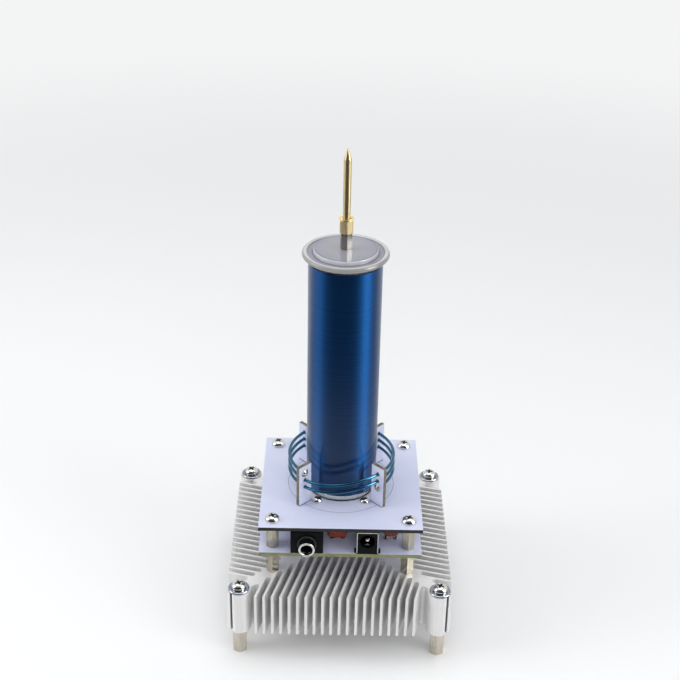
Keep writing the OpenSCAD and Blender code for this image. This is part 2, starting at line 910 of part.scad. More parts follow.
// Where the leads go through the driver board
socket_lead_sites = [
    for (s = [-1, 1], y = [audio_lead_front, audio_lead_rear]) [s * audio_lead_x - audio_x, socket_front + y],
    [power_x, socket_front + power_len - power_lead_in],
    [power_x, socket_front + power_len / 2],
    [power_x + power_w / 2 - power_lead_in, socket_front + 3 * power_len / 4]];
can_lead_sites = [for (p = can_sites, s = [-1, 1]) p + [0, s * can_lead_y]];
function film_lead_sites(p) = [for (s = [-1, 1]) p + [s * film_lead_x, 0]];
chip_lead_sites = [for (i = [-1.5 : 1.5], s = [-1, 1])
    chip_site + [s * (chip_size.x / 2 + chip_lead_out), i * chip_lead_pitch]];
lead_sites = concat(socket_lead_sites, can_lead_sites, film_lead_sites(film_middle),
    film_lead_sites(film_right), chip_lead_sites);
axial_sites = concat(resistor_sites, diode_sites);

// Dipped capacitor: a flat lozenge, round at both sides
module film_capacitor(site, z, w) {
    color([0.5, 0.16, 0.08])
        translate([site.x, site.y, z]) {
            translate([-(w - film_t) / 2, -film_t / 2, 0])
                cube([w - film_t, film_t, film_h]);
            for (s = [-1, 1])
                translate([s * (w - film_t) / 2, 0, 0])
                    cylinder(d = film_t, h = film_h);
        }
}

module film_capacitor_middle() {
    film_capacitor(film_middle, film_middle_z, film_w);
}

module film_capacitor_right() {
    film_capacitor(film_right, film_right_z, film_right_w);
}

module electrolytic_capacitors() {
    color([0.1, 0.13, 0.2])
        for (p = can_sites)
            translate([p.x, p.y, driver_top])
                cylinder(d = can_d, h = can_h);
}

module driver_chip() {
    color([0.08, 0.08, 0.09])
        translate([chip_site.x - chip_size.x / 2, chip_site.y - chip_size.y / 2, driver_top + chip_lift])
            cube(chip_size);
}

// Round body, size = [diameter, length], lying between two leads that bend down
module axial_part(site, size) {
    axis_z = driver_top + size[0] / 2;
    translate([site.x, site.y, axis_z]) {
        bar_to_front(size[1] / 2, size[0], size[1]);
        bar_to_front(axial_span / 2, lead_d, axial_span, $fn = 16);
    }
    for (s = [-1, 1])
        stand_lead([site.x, site.y + s * axial_span / 2], axis_z + lead_d / 2);
}

// Straight lead from below the driver board up to a height
module stand_lead(p, top) {
    translate([p.x, p.y, driver_z - lead_below])
        cylinder(d = lead_d, h = top - driver_z + lead_below, $fn = 16);
}

module resistors() {
    color([0.72, 0.6, 0.42])
        for (p = resistor_sites)
            axial_part(p, resistor_size);
}

module diodes() {
    color([0.12, 0.12, 0.13])
        for (p = diode_sites)
            axial_part(p, diode_size);
}

// Leads of the parts that stand on the driver board
module component_leads() {
    color([0.8, 0.8, 0.78]) {
        for (p = concat(socket_lead_sites, can_lead_sites))
            stand_lead(p, driver_top);
        for (p = film_lead_sites(film_middle))
            stand_lead(p, film_middle_z);
        for (p = film_lead_sites(film_right))
            stand_lead(p, film_right_z);
        for (p = chip_lead_sites) {
            stand_lead(p, driver_top + chip_lead_z + lead_d / 2);
            inner_x = p.x < chip_site.x ? p.x : p.x - chip_lead_out;
            translate([inner_x, p.y - lead_d / 2, driver_top + chip_lead_z])
                cube([chip_lead_out, lead_d, lead_d / 2]);
        }
    }
}

module power_transistor() {
    body_z = sink_top + pad_t;
    leg_z = body_z + transistor_t / 2;
    body_back = transistor_y + transistor_len / 2;
    color([0.09, 0.09, 0.1])
        difference() {
            translate([-transistor_w / 2, body_back - transistor_len, body_z])
                cube([transistor_w, transistor_len, transistor_t]);
            translate([0, transistor_screw_y, body_z])
                drill(thread_d + 2 * drill_extra, transistor_t);
        }
    color([0.8, 0.8, 0.78])
        for (i = [-1, 0, 1])
            translate([i * leg_pitch - transistor_leg_w / 2, 0, leg_z]) {
                translate([0, body_back - 0.5, 0])
                    cube([transistor_leg_w, transistor_leg_y + 0.5 - body_back, transistor_leg_t]);
                translate([0, transistor_leg_y - transistor_leg_t / 2, 0])
                    cube([transistor_leg_w, transistor_leg_t, driver_top + 1 - leg_z]);
            }
}

module transistor_pad() {
    color([0.6, 0.6, 0.62])
        difference() {
            translate([-transistor_w / 2 - pad_edge, transistor_y - transistor_len / 2 - pad_edge, sink_top])
                cube([transistor_w + 2 * pad_edge, transistor_len + 2 * pad_edge, pad_t]);
            translate([0, transistor_screw_y, sink_top])
                drill(thread_d + 2 * drill_extra, pad_t);
        }
}

module transistor_screw() {
    color([0.86, 0.86, 0.85])
        translate([0, transistor_screw_y, sink_top + pad_t + transistor_t])
            pan_screw(thread_d, transistor_t + pad_t + transistor_screw_grip, head_d, head_h);
}

heat_sink();
foot_standoffs();
heat_sink_screws();
heat_sink_washers();
board_standoffs();
board_screws();
driver_board();
coil_board();
coil_former();
secondary_winding();
coil_base_flange();
coil_base_screws();
coil_base_nuts();
top_cap();
terminal_screw();
terminal_post();
needle_collar();
discharge_needle();
bracket_front_left();
bracket_front_right();
bracket_back_left();
bracket_back_right();
primary_coil();
primary_solder_joints();
audio_socket_body();
audio_socket_nose();
audio_socket_spring();
power_socket_body();
power_socket_pin();
power_socket_spring();
film_capacitor_middle();
film_capacitor_right();
electrolytic_capacitors();
driver_chip();
resistors();
diodes();
component_leads();
power_transistor();
transistor_pad();
transistor_screw();
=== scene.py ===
# %% [markdown]
# # A small resonant transformer for the desk
#
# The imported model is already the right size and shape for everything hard: the heat sink, the boards,
# the tube, the screws. Here it gets its finishes, and the pieces whose charm is in fine detail are made
# again on top of it: the two coils, the sockets and the little parts between the boards.

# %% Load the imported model
import bpy
import bmesh
import math
from mathutils import Matrix, Vector


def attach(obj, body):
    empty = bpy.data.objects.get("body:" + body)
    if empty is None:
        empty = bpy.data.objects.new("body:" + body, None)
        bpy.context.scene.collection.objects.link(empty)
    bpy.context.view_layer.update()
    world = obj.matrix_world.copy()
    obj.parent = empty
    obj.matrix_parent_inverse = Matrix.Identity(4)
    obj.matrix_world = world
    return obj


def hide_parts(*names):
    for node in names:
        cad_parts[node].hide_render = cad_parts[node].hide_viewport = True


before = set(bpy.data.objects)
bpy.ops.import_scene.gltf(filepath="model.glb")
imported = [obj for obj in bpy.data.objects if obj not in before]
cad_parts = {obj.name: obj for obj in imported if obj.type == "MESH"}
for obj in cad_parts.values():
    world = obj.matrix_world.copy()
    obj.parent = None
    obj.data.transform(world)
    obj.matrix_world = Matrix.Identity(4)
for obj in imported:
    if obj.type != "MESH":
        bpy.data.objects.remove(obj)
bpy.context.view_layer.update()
MM = 0.001
print("nodes in the frame:", len(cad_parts))

# %% [markdown]
# ## Camera, floor and light
#
# The picture was taken from a little above and straight in front, so the camera leans down by 28.6 degrees.
# Its three axes are worked out from that lean, a trace of turn and a trace of roll.

# %% The camera
def into_scene(name, data):
    made = bpy.data.objects.new(name, data)
    bpy.context.scene.collection.objects.link(made)
    return made


PITCH, YAW, ROLL = math.radians(28.61), math.radians(0.31), math.radians(1.14)
CAMERA_PLACE = Vector((-4.1, -459.5, 376.3)) * MM
FOCAL_PX, PICTURE_PX = 1299.7, 680

ahead = Vector((math.sin(YAW) * math.cos(PITCH), math.cos(YAW) * math.cos(PITCH), -math.sin(PITCH)))
level_right = Vector((math.cos(YAW), -math.sin(YAW), 0))
level_up = level_right.cross(ahead)
right = math.cos(ROLL) * level_right + math.sin(ROLL) * level_up
up = -math.sin(ROLL) * level_right + math.cos(ROLL) * level_up

camera_data = bpy.data.cameras.new("front_view")
camera_data.sensor_width = 36
camera_data.lens = FOCAL_PX / PICTURE_PX * 36
camera_data.clip_start = 0.01
camera = into_scene("front_view", camera_data)
camera.matrix_world = Matrix.Translation(CAMERA_PLACE) @ Matrix((right, up, -ahead)).transposed().to_4x4()
bpy.context.scene.camera = camera
bpy.context.scene.view_settings.view_transform = "Standard"
print("lens:", round(camera_data.lens, 2), "mm")

# %% [markdown]
# A pale floor and a pale room. The room looks white to the camera and in reflections, but lights the
# object only mildly, so that the lamps can shape it. A few helpers come first: a finish is a net of small
# nodes, and each of them feeds the next one or holds a plain number or colour.

# %% Small helpers for shader nodes
def new_finish(name):
    finish = bpy.data.materials.new(name)
    finish.use_nodes = True
    tree = finish.node_tree
    return finish, tree, tree.nodes["Principled BSDF"]


def feed(tree, node, feeds):
    """Feeds a node's inputs: another node's output is linked, and a plain value is set."""
    for key, source in feeds.items():
        if isinstance(source, bpy.types.NodeSocket):
            tree.links.new(source, node.inputs[key])
        else:
            node.inputs[key].default_value = source


def add_node(tree, kind, feeds=None, **settings):
    made = tree.nodes.new(kind)
    for key, value in settings.items():
        setattr(made, key, value)
    feed(tree, made, feeds or {})
    return made


def calculate(tree, operation, *values):
    return add_node(tree, "ShaderNodeMath", dict(enumerate(values)), operation=operation).outputs[0]


def calculate_vector(tree, operation, *values):
    made = add_node(tree, "ShaderNodeVectorMath", dict(enumerate(values)), operation=operation)
    return made.outputs["Value" if operation in ("LENGTH", "DOT_PRODUCT") else "Vector"]


def map_range(tree, value, low, high, to_low=0.0, to_high=1.0, curve="LINEAR"):
    feeds = {"Value": value, "From Min": low, "From Max": high, "To Min": to_low, "To Max": to_high}
    return add_node(tree, "ShaderNodeMapRange", feeds, interpolation_type=curve).outputs["Result"]


def colour_ramp(tree, value, *marks):
    """Colour that runs through marks, which are pairs of a place from 0 to 1 and a colour."""
    made = add_node(tree, "ShaderNodeValToRGB", {"Fac": value})
    elements = made.color_ramp.elements
    for place, colour in marks[2:]:
        elements.new(place)
    for element, (place, colour) in zip(elements, marks):
        element.position, element.color = place, (*colour[:3], 1)
    return made.outputs["Color"]


def mix_colours(tree, share, first, second):
    return add_node(tree, "ShaderNodeMix", {0: share, 6: first, 7: second}, data_type="RGBA").outputs[2]


def mix_shaders(tree, share, first, second):
    return add_node(tree, "ShaderNodeMixShader", {0: share, 1: first, 2: second}).outputs[0]


def object_place(tree):
    return add_node(tree, "ShaderNodeTexCoord").outputs["Object"]


def from_axis(tree, place):
    """Distance of a place from the upright axis."""
    return calculate_vector(tree, "LENGTH", calculate_vector(tree, "MULTIPLY", place, (1, 1, 0)))


ROOM_COLOUR = (0.90, 0.905, 0.91, 1)
FRONT_COLOUR = (0.03, 0.03, 0.035, 1)


def seeing_ray(tree):
    """1 for a ray from the camera, a mirror or clear plastic, and 0 for one that only gathers light."""
    ray = add_node(tree, "ShaderNodeLightPath").outputs
    seen_through = calculate(tree, "MAXIMUM", ray["Is Camera Ray"], ray["Is Transmission Ray"])
    return calculate(tree, "MAXIMUM", seen_through, ray["Is Glossy Ray"])


# %% Floor
floor_finish, tree, shader = new_finish("pale_floor")
place = object_place(tree)
grain = add_node(tree, "ShaderNodeTexNoise", {"Vector": place, "Scale": 900})
bump = add_node(tree, "ShaderNodeBump", {"Height": grain.outputs["Fac"], "Strength": 0.05, "Distance": 0.0002})
feed(tree, shader, {"Base Color": (0.86, 0.86, 0.86, 1), "Roughness": 0.75, "Normal": bump.outputs["Normal"]})

# Far from the object, the floor turns into the room's own pale colour for rays that see or mirror it
away = calculate_vector(tree, "LENGTH", place)
far_floor = add_node(tree, "ShaderNodeEmission", {"Color": ROOM_COLOUR})
far_share = calculate(tree, "MULTIPLY", map_range(tree, away, 0.25, 0.9, curve="SMOOTHSTEP"), seeing_ray(tree))
surface = mix_shaders(tree, far_share, shader.outputs["BSDF"], far_floor.outputs[0])

# On the photographer's side, mirrors show the floor getting dark with distance
to_back = add_node(tree, "ShaderNodeSeparateXYZ", {0: place}).outputs["Y"]
front_share = calculate(tree, "MULTIPLY", map_range(tree, to_back, 0.26, -0.06, curve="SMOOTHSTEP"),
                        map_range(tree, away, 0.09, 0.24, curve="SMOOTHSTEP"))
in_mirror = add_node(tree, "ShaderNodeLightPath").outputs["Is Glossy Ray"]
front_floor = add_node(tree, "ShaderNodeEmission", {"Color": FRONT_COLOUR})
surface = mix_shaders(tree, calculate(tree, "MULTIPLY", front_share, in_mirror), surface, front_floor.outputs[0])
feed(tree, tree.nodes["Material Output"], {"Surface": surface})

floor_mesh = bpy.data.meshes.new("floor")
half = 6.0
floor_mesh.from_pydata([(-half, -half, 0), (half, -half, 0), (half, half, 0), (-half, half, 0)], [], [(0, 1, 2, 3)])
floor_mesh.materials.append(floor_finish)
floor = into_scene("floor", floor_mesh)
print("floor:", 2 * half, "m wide")

# %% [markdown]
# The room is pale all round, and lights the object only mildly. A studio is darker on the photographer's
# side, and metal shows that: it gives the coil, the needle and the screws their dark middles. So for
# mirrored rays alone the room gets darker towards the front.

# %% Room
world = bpy.data.worlds.new("pale_room")
bpy.context.scene.world = world
world.use_nodes = True
tree = world.node_tree
tree.nodes.clear()
lit = add_node(tree, "ShaderNodeBackground", {"Color": (0.95, 0.97, 1.0, 1), "Strength": 0.56})
seen = add_node(tree, "ShaderNodeBackground", {"Color": ROOM_COLOUR})
direction = add_node(tree, "ShaderNodeTexCoord").outputs["Generated"]
to_back = add_node(tree, "ShaderNodeSeparateXYZ", {0: direction}).outputs["Y"]
darker = colour_ramp(tree, map_range(tree, to_back, -1.0, 1.0), (0.12, FRONT_COLOUR), (0.62, ROOM_COLOUR))
mirrored = add_node(tree, "ShaderNodeBackground", {"Color": darker})
in_mirror = add_node(tree, "ShaderNodeLightPath").outputs["Is Glossy Ray"]
room = mix_shaders(tree, seeing_ray(tree), lit.outputs[0], seen.outputs[0])
add_node(tree, "ShaderNodeOutputWorld", {"Surface": mix_shaders(tree, in_mirror, room, mirrored.outputs[0])})
print("nodes in the room's light:", len(tree.nodes))


# %% [markdown]
# Two tall soft lamps stand left and right, one hangs above and a weak one fills in from the front. Metal
# needs a stronger lamp to mirror than a white board can bear, so two more lamps show in reflections alone.

# %% Soft lamps
def soft_lamp(name, place, aim, size, power):
    lamp_data = bpy.data.lights.new(name, "AREA")
    lamp_data.shape = "RECTANGLE"
    lamp_data.size, lamp_data.size_y = size
    lamp_data.energy = power
    lamp = into_scene(name, lamp_data)
    lamp.location = place
    lamp.rotation_euler = (Vector(aim) - Vector(place)).to_track_quat("-Z", "Y").to_euler()
    return lamp


soft_lamp("left_softbox", (-0.78, -0.10, 0.42), (0, 0, 0.08), (0.42, 0.8), 3.3)
soft_lamp("right_softbox", (0.66, -0.40, 0.42), (0, 0, 0.08), (0.30, 0.8), 2.0)
soft_lamp("top_softbox", (0.0, 0.15, 0.95), (0, 0, 0.05), (0.7, 0.5), 2.8)
fill = soft_lamp("front_fill", (0.1, -0.9, 0.55), (0, 0, 0.06), (0.5, 0.4), 1.2)
fill.visible_glossy = False
for name, place, power in (("left_shine", (-0.78, -0.10, 0.42), 3.2), ("right_shine", (0.73, -0.25, 0.42), 8.5)):
    shine = soft_lamp(name, place, (0, 0, 0.08), (0.36, 0.8), power)
    shine.visible_diffuse = False
print("lamps:", len(bpy.data.lights))


# %% [markdown]
# ## Effects that several finishes share
#
# Streaks and grain come from one noise, stretched along one axis or another, so it is built once as a
# node group. It works in metres, on the object's own coordinates, so it never slides.

# %% Group: stretched grain
def new_group(name, inputs, output):
    """Empty group with vector or number inputs and one number as its output."""
    group = bpy.data.node_groups.new(name, "ShaderNodeTree")
    for socket, kind in inputs.items():
        group.interface.new_socket(name=socket, in_out="INPUT", socket_type=kind)
    group.interface.new_socket(name=output, in_out="OUTPUT", socket_type="NodeSocketFloat")
    return group, add_node(group, "NodeGroupInput").outputs


grain_group, given = new_group("stretched_grain", {"Waves per metre": "NodeSocketVector",
                                                   "Detail": "NodeSocketFloat"}, "Value")
stretched = calculate_vector(grain_group, "MULTIPLY", object_place(grain_group), given["Waves per metre"])
noise = add_node(grain_group, "ShaderNodeTexNoise", {"Vector": stretched, "Scale": 1.0, "Detail": given["Detail"]})
add_node(grain_group, "NodeGroupOutput", {"Value": noise.outputs["Fac"]})
print("nodes in the grain:", len(grain_group.nodes))

# %% [markdown]
# A circuit board is white on its faces and shows bare glass fibre on its cut edges. This group compares
# the surface's normal with the board's own facing and puts out 1 on a face and 0 on an edge.

# %% Group: face of a board
face_group, given = new_group("board_face", {"Facing": "NodeSocketVector"}, "Face")
normal = add_node(face_group, "ShaderNodeTexCoord").outputs["Normal"]
along = calculate_vector(face_group, "DOT_PRODUCT", normal, given["Facing"])
is_face = calculate(face_group, "GREATER_THAN", calculate(face_group, "ABSOLUTE", along), 0.7)
add_node(face_group, "NodeGroupOutput", {"Face": is_face})
print("nodes in the face test:", len(face_group.nodes))


# %% Placing a group and a bump in a finish
def use_grain(tree, waves, detail=3.0):
    feeds = {"Waves per metre": waves, "Detail": detail}
    return add_node(tree, "ShaderNodeGroup", feeds, node_tree=grain_group).outputs["Value"]


def use_face(tree, facing):
    return add_node(tree, "ShaderNodeGroup", {"Facing": facing}, node_tree=face_group).outputs["Face"]


def between(tree, value, low, high):
    """Colour that goes from low to high as value goes from 0.3 to 0.7."""
    return colour_ramp(tree, value, (0.3, low), (0.7, high))


def spread(tree, value, low, high):
    """Number that goes from low to high as value goes from 0.3 to 0.7."""
    return map_range(tree, value, 0.3, 0.7, low, high)


def add_bump(tree, shader, value, depth_mm):
    made = add_node(tree, "ShaderNodeBump", {"Height": value, "Strength": 1.0, "Distance": depth_mm * MM})
    feed(tree, shader, {"Normal": made.outputs["Normal"]})


def grained(name, low, high, rough, waves, bump_mm, fixed):
    """Finish whose colour and roughness change a little with grain. What is fixed is the same all over."""
    finish, tree, shader = new_finish(name)
    value = use_grain(tree, waves)
    feed(tree, shader, {"Base Color": between(tree, value, low, high), "Roughness": spread(tree, value, *rough)})
    feed(tree, shader, fixed)
    if bump_mm:
        add_bump(tree, shader, value, bump_mm)
    return finish


def metal(name, low, high, rough, waves, bump_mm=0.0, metallic=1.0, turning=0.0):
    """Turning lines spread a metal's shine upwards."""
    return grained(name, low, high, rough, waves, bump_mm,
                   {"Metallic": metallic, "Anisotropic": turning, "Anisotropic Rotation": 0.25})


# %% [markdown]
# ## Metals
#
# The heat sink is a sawn slice of an aluminium extrusion. Its sides carry fine lines along the length of
# the bar, and its ends a satin saw finish, so both are mixed by which way the surface faces.

# %% Aluminium of the heat sink
BOSS_PLACE = 41.25


def painted_bore_shade(tree, colour, on_end):
    """Painted shade in the bore and slot of each boss, which lie deep in shadow."""
    one_corner = calculate_vector(tree, "ABSOLUTE", object_place(tree))
    from_boss = calculate_vector(tree, "SUBTRACT", one_corner, (BOSS_PLACE * MM, BOSS_PLACE * MM, 0))
    depth = map_range(tree, from_axis(tree, from_boss), 4.3 * MM, 3.5 * MM)
    share = calculate(tree, "MULTIPLY", depth, calculate(tree, "SUBTRACT", 1.0, on_end))
    return mix_colours(tree, share, colour, (0.06, 0.05, 0.045, 1))


def aluminium_finish():
    finish, tree, shader = new_finish("extruded_aluminium")
    on_end = use_face(tree, (0, 0, 1))
    drawn = use_grain(tree, (2600, 2600, 25), 4)
    sawn = use_grain(tree, (500, 2600, 500), 4)
    value = add_node(tree, "ShaderNodeMix", {0: on_end, 2: drawn, 3: sawn}, data_type="FLOAT").outputs[0]
    clean = between(tree, value, (0.70, 0.69, 0.685), (0.78, 0.77, 0.765))
    feed(tree, shader, {"Metallic": 0.3, "Base Color": painted_bore_shade(tree, clean, on_end),
                        "Roughness": spread(tree, value, 0.48, 0.36)})
    add_bump(tree, shader, value, 0.02)
    return finish


# %% Turned and plated metals
aluminium = aluminium_finish()
nickel = metal("warm_nickel", (0.55, 0.51, 0.43), (0.62, 0.58, 0.50), (0.30, 0.24), (700, 700, 90), 0.006)
dull_nickel = metal("dull_nickel", (0.36, 0.335, 0.265), (0.43, 0.40, 0.33), (0.28, 0.20), (700, 700, 90), 0.006)
bright = metal("bright_nickel", (0.62, 0.61, 0.59), (0.70, 0.69, 0.67), (0.20, 0.13), (500, 500, 500))
polished = metal("polished_nickel", (0.60, 0.60, 0.60), (0.68, 0.68, 0.68), (0.09, 0.05), (500, 500, 500))
post_nickel = metal("post_nickel", (0.36, 0.345, 0.31), (0.42, 0.40, 0.365), (0.26, 0.20), (700, 700, 90), 0.002,
                    turning=0.5)
# Darker brass for the painted reflection down the collar's corners.
brass_painted_corner_reflection = metal("brass_painted_corner_reflection", (0.40, 0.27, 0.15), (0.46, 0.32, 0.19), (0.42, 0.34), (200, 200, 1200),
                     metallic=0.3)
# Darker nickel painted inside the screws' crosses as painted shade.
painted_recess_shade = metal("recess_nickel_painted_shade", (0.14, 0.14, 0.14), (0.22, 0.22, 0.21), (0.45, 0.35), (500, 500, 500))
washer = metal("washer_nickel", (0.24, 0.27, 0.32), (0.32, 0.35, 0.41), (0.22, 0.15), (1500, 400, 400), 0.003)
brass = metal("collar_brass", (0.76, 0.63, 0.36), (0.82, 0.69, 0.42), (0.42, 0.36), (200, 200, 1200), 0.001,
              turning=0.3)
needle_brass = metal("needle_brass", (0.50, 0.41, 0.22), (0.58, 0.48, 0.28), (0.44, 0.36), (60, 60, 3500), 0.01,
                     turning=0.75)
tin = metal("tin_solder", (0.50, 0.50, 0.49), (0.66, 0.66, 0.64), (0.34, 0.18), (900, 900, 900), 0.01)
spring = metal("spring_brass", (0.60, 0.56, 0.46), (0.70, 0.66, 0.56), (0.30, 0.20), (200, 1500, 200))
print("finishes so far:", len(bpy.data.materials))


# %% [markdown]
# ## Plastics and coatings
#
# Moulded plastic isn't flat black: it has a faint grain that breaks up its shine.

# %% Plastics
def plastic(name, low, high, rough, waves=(1800, 1800, 1800), bump_mm=0.01, coat=0.0, gloss=0.5):
    return grained(name, low, high, rough, waves, bump_mm,
                   {"Specular IOR Level": gloss, "Coat Weight": coat, "Coat Roughness": 0.08})


black_plastic = plastic("black_plastic", (0.0025, 0.003, 0.0035), (0.005, 0.006, 0.007), (0.30, 0.22), gloss=0.07)
# Lighter grey for the audio nose's flange ring, a painted highlight.
rim_grey_painted_highlight = plastic("rim_grey_painted_highlight", (0.018, 0.018, 0.02), (0.03, 0.03, 0.033), (0.34, 0.26), gloss=0.3)
# Dark plastic for painted shadows: lines at the brackets' feet and the capacitors' drips.
painted_shadow_dark = plastic("painted_shadow_dark", (0.012, 0.010, 0.008), (0.022, 0.018, 0.014), (0.6, 0.5))
black_moulding = plastic("black_moulding", (0.012, 0.012, 0.014), (0.024, 0.024, 0.027), (0.6, 0.5), gloss=0.3)
red_epoxy = plastic("red_epoxy", (0.30, 0.045, 0.018), (0.38, 0.07, 0.028), (0.3, 0.2), (600, 600, 600), 0.03, 0.4)
dark_sleeve = plastic("dark_sleeve", (0.012, 0.03, 0.06), (0.02, 0.045, 0.085), (0.32, 0.22))
pale_stripe = plastic("pale_stripe", (0.55, 0.58, 0.6), (0.65, 0.67, 0.69), (0.34, 0.26))
grey_pad = plastic("grey_pad", (0.40, 0.42, 0.45), (0.50, 0.52, 0.55), (0.8, 0.65))
lacquer_tan = plastic("lacquer_tan", (0.50, 0.36, 0.20), (0.60, 0.45, 0.27), (0.34, 0.24), coat=0.3)
band_brown = plastic("band_brown", (0.10, 0.03, 0.01), (0.15, 0.05, 0.02), (0.34, 0.24))
band_black = plastic("band_black", (0.01, 0.01, 0.01), (0.02, 0.02, 0.02), (0.34, 0.24))
band_orange = plastic("band_orange", (0.65, 0.20, 0.02), (0.75, 0.26, 0.04), (0.34, 0.24))
# Pale grey for the painted highlight along the power socket frame's edges.
edge_painted_highlight = plastic("edge_painted_highlight", (0.42, 0.42, 0.40), (0.50, 0.50, 0.48), (0.45, 0.35))
can_top = metal("can_top", (0.70, 0.70, 0.70), (0.80, 0.80, 0.80), (0.4, 0.28), (300, 300, 300))
band_gold = metal("band_gold", (0.55, 0.40, 0.14), (0.66, 0.50, 0.20), (0.4, 0.3), (900, 900, 900), 0.0, 0.6)
print("finishes so far:", len(bpy.data.materials))


# %% [markdown]
# The boards are glass fibre under a white solder mask. The mask is slightly blue and has a soft shine.
# Cut edges show the layers of cloth, olive and brown. A thin printed circle runs round the coil.

# %% White board
def board_finish(name, facing, edge_dark, edge_pale, ring=False):
    finish, tree, shader = new_finish(name)
    face = use_face(tree, facing)
    mask = between(tree, use_grain(tree, (60, 60, 60), 2), (0.62, 0.65, 0.82), (0.66, 0.69, 0.86))
    cloth = between(tree, use_grain(tree, (250, 250, 6000), 2), edge_dark, edge_pale)
    colour = mix_colours(tree, face, cloth, mask)
    if ring:
        colour = printed_circle(tree, colour)
    feed(tree, shader, {"Base Color": colour, "Roughness": spread(tree, face, 0.75, 0.38)})
    add_bump(tree, shader, use_grain(tree, (900, 900, 900), 2), 0.006)
    return finish


def printed_circle(tree, colour):
    """Thin dark line at a radius of 22.4 mm round the coil's axis."""
    off_line = calculate(tree, "SUBTRACT", from_axis(tree, object_place(tree)), 22.4 * MM)
    ink = map_range(tree, calculate(tree, "ABSOLUTE", off_line), 0.06 * MM, 0.14 * MM, 1.0, 0.0)
    return mix_colours(tree, ink, colour, (0.18, 0.18, 0.24, 1))


driver_white = board_finish("driver_board_white", (0, 0, 1), (0.13, 0.14, 0.06), (0.27, 0.28, 0.14))
coil_white = board_finish("coil_board_white", (0, 0, 1), (0.008, 0.007, 0.005), (0.024, 0.020, 0.015), ring=True)
diagonal = math.sqrt(0.5)
bracket_white = {}
for letter, corner, across in (("a", "front_left", -diagonal), ("b", "back_right", -diagonal),
                               ("c", "front_right", diagonal), ("d", "back_left", diagonal)):
    bracket_white["bracket_" + corner] = board_finish("bracket_white_" + letter, (diagonal, across, 0),
                                                      (0.05, 0.042, 0.028), (0.27, 0.235, 0.165))
print("finishes so far:", len(bpy.data.materials))


# %% [markdown]
# Clear acrylic is real glass-like transmission, with only a trace of unevenness on its surface.

# %% Clear acrylic
def acrylic_finish():
    finish, tree, shader = new_finish("clear_acrylic")
    value = use_grain(tree, (120, 120, 120), 2)
    feed(tree, shader, {"Base Color": (0.74, 0.76, 0.79, 1), "Transmission Weight": 1.0, "IOR": 1.49,
                        "Roughness": spread(tree, value, 0.02, 0.06)})
    add_bump(tree, shader, value, 0.01)
    return finish


acrylic = acrylic_finish()


# %% [markdown]
# The cap is the same plastic, but its hidden inner face is left matt from sawing, so that it looks milky
# from above. Most of its light comes back from that face, and the rest still goes through. Its rings of
# paler and darker grey are given by their share of the cap's radius, and they are painted light: painted
# highlights on the disc's edge and the bead, and painted shade in thin lines beside them and in the valley.

# %% Milky cap
def milky_finish():
    finish, tree, shader = new_finish("milky_acrylic")
    share = map_range(tree, from_axis(tree, object_place(tree)), 0.0, 17.2 * MM)
    # Painted highlights and painted shade, in rings by radius.
    painted_light_rings = colour_ramp(
        tree, share, (0.0, (0.47, 0.47, 0.50)), (0.45, (0.43, 0.43, 0.48)), (0.68, (0.38, 0.38, 0.45)),
        (0.715, (0.24, 0.24, 0.31)), (0.733, (0.92, 0.92, 0.94)), (0.748, (0.16, 0.16, 0.22)),
        (0.78, (0.34, 0.34, 0.42)), (0.85, (0.38, 0.38, 0.45)), (0.875, (0.20, 0.20, 0.26)),
        (0.90, (0.74, 0.73, 0.73)), (0.945, (0.70, 0.69, 0.68)), (0.975, (0.40, 0.39, 0.38)))
    value = use_grain(tree, (90, 90, 90), 3)
    feed(tree, shader, {"Base Color": painted_light_rings, "Transmission Weight": 0.3, "IOR": 1.49,
                        "Roughness": spread(tree, value, 0.015, 0.04)})
    add_bump(tree, shader, value, 0.01)
    return finish


cap_acrylic = milky_finish()


# %% [markdown]
# Enamelled wire is copper under coloured lacquer. Light goes through the lacquer and comes back off the
# metal, which gives deep, saturated reflections, so the finish is a coloured metal under a clear coat.

# %% Enamelled wire
def enamel(name, low, high, rough, waves, coat, ridges=0.0):
    """Ridges laid round the coil spread its shine upwards, as a wound coil does."""
    return grained(name, low, high, rough, waves, 0.0,
                   {"Metallic": 0.95, "Coat Weight": coat, "Coat Roughness": 0.03, "Anisotropic": ridges,
                    "Anisotropic Rotation": 0.25})


blue_enamel = enamel("blue_enamel", (0.004, 0.045, 0.155), (0.006, 0.058, 0.185), (0.52, 0.44), (12, 12, 1500),
                     0.55, ridges=0.85)
teal_enamel = enamel("teal_enamel", (0.003, 0.095, 0.175), (0.006, 0.130, 0.225), (0.14, 0.08), (200, 200, 200), 0.6)
print("finishes in all:", len(bpy.data.materials))


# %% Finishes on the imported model's own nodes
NODE_FINISHES = {
    "heat_sink": aluminium, "foot_standoffs": nickel, "heat_sink_screws": bright, "heat_sink_washers": washer,
    "board_standoffs": dull_nickel, "board_screws": bright, "driver_board": driver_white, "coil_board": coil_white,
    "coil_former": acrylic, "secondary_winding": blue_enamel, "coil_base_flange": acrylic,
    "coil_base_screws": bright, "coil_base_nuts": nickel, "top_cap": cap_acrylic, "terminal_screw": bright,
    "terminal_post": post_nickel, "needle_collar": brass, "discharge_needle": needle_brass,
    "primary_coil": teal_enamel, "primary_solder_joints": tin, "audio_socket_body": black_plastic,
    "audio_socket_nose": bright, "audio_socket_spring": spring, "power_socket_body": black_plastic,
    "power_socket_pin": bright, "power_socket_spring": spring, "film_capacitor_middle": red_epoxy,
    "film_capacitor_right": red_epoxy, "electrolytic_capacitors": dark_sleeve, "driver_chip": black_moulding,
    "resistors": lacquer_tan, "diodes": black_moulding, "component_leads": tin,
    "power_transistor": black_moulding, "transistor_pad": grey_pad, "transistor_screw": bright,
    **bracket_white,
}
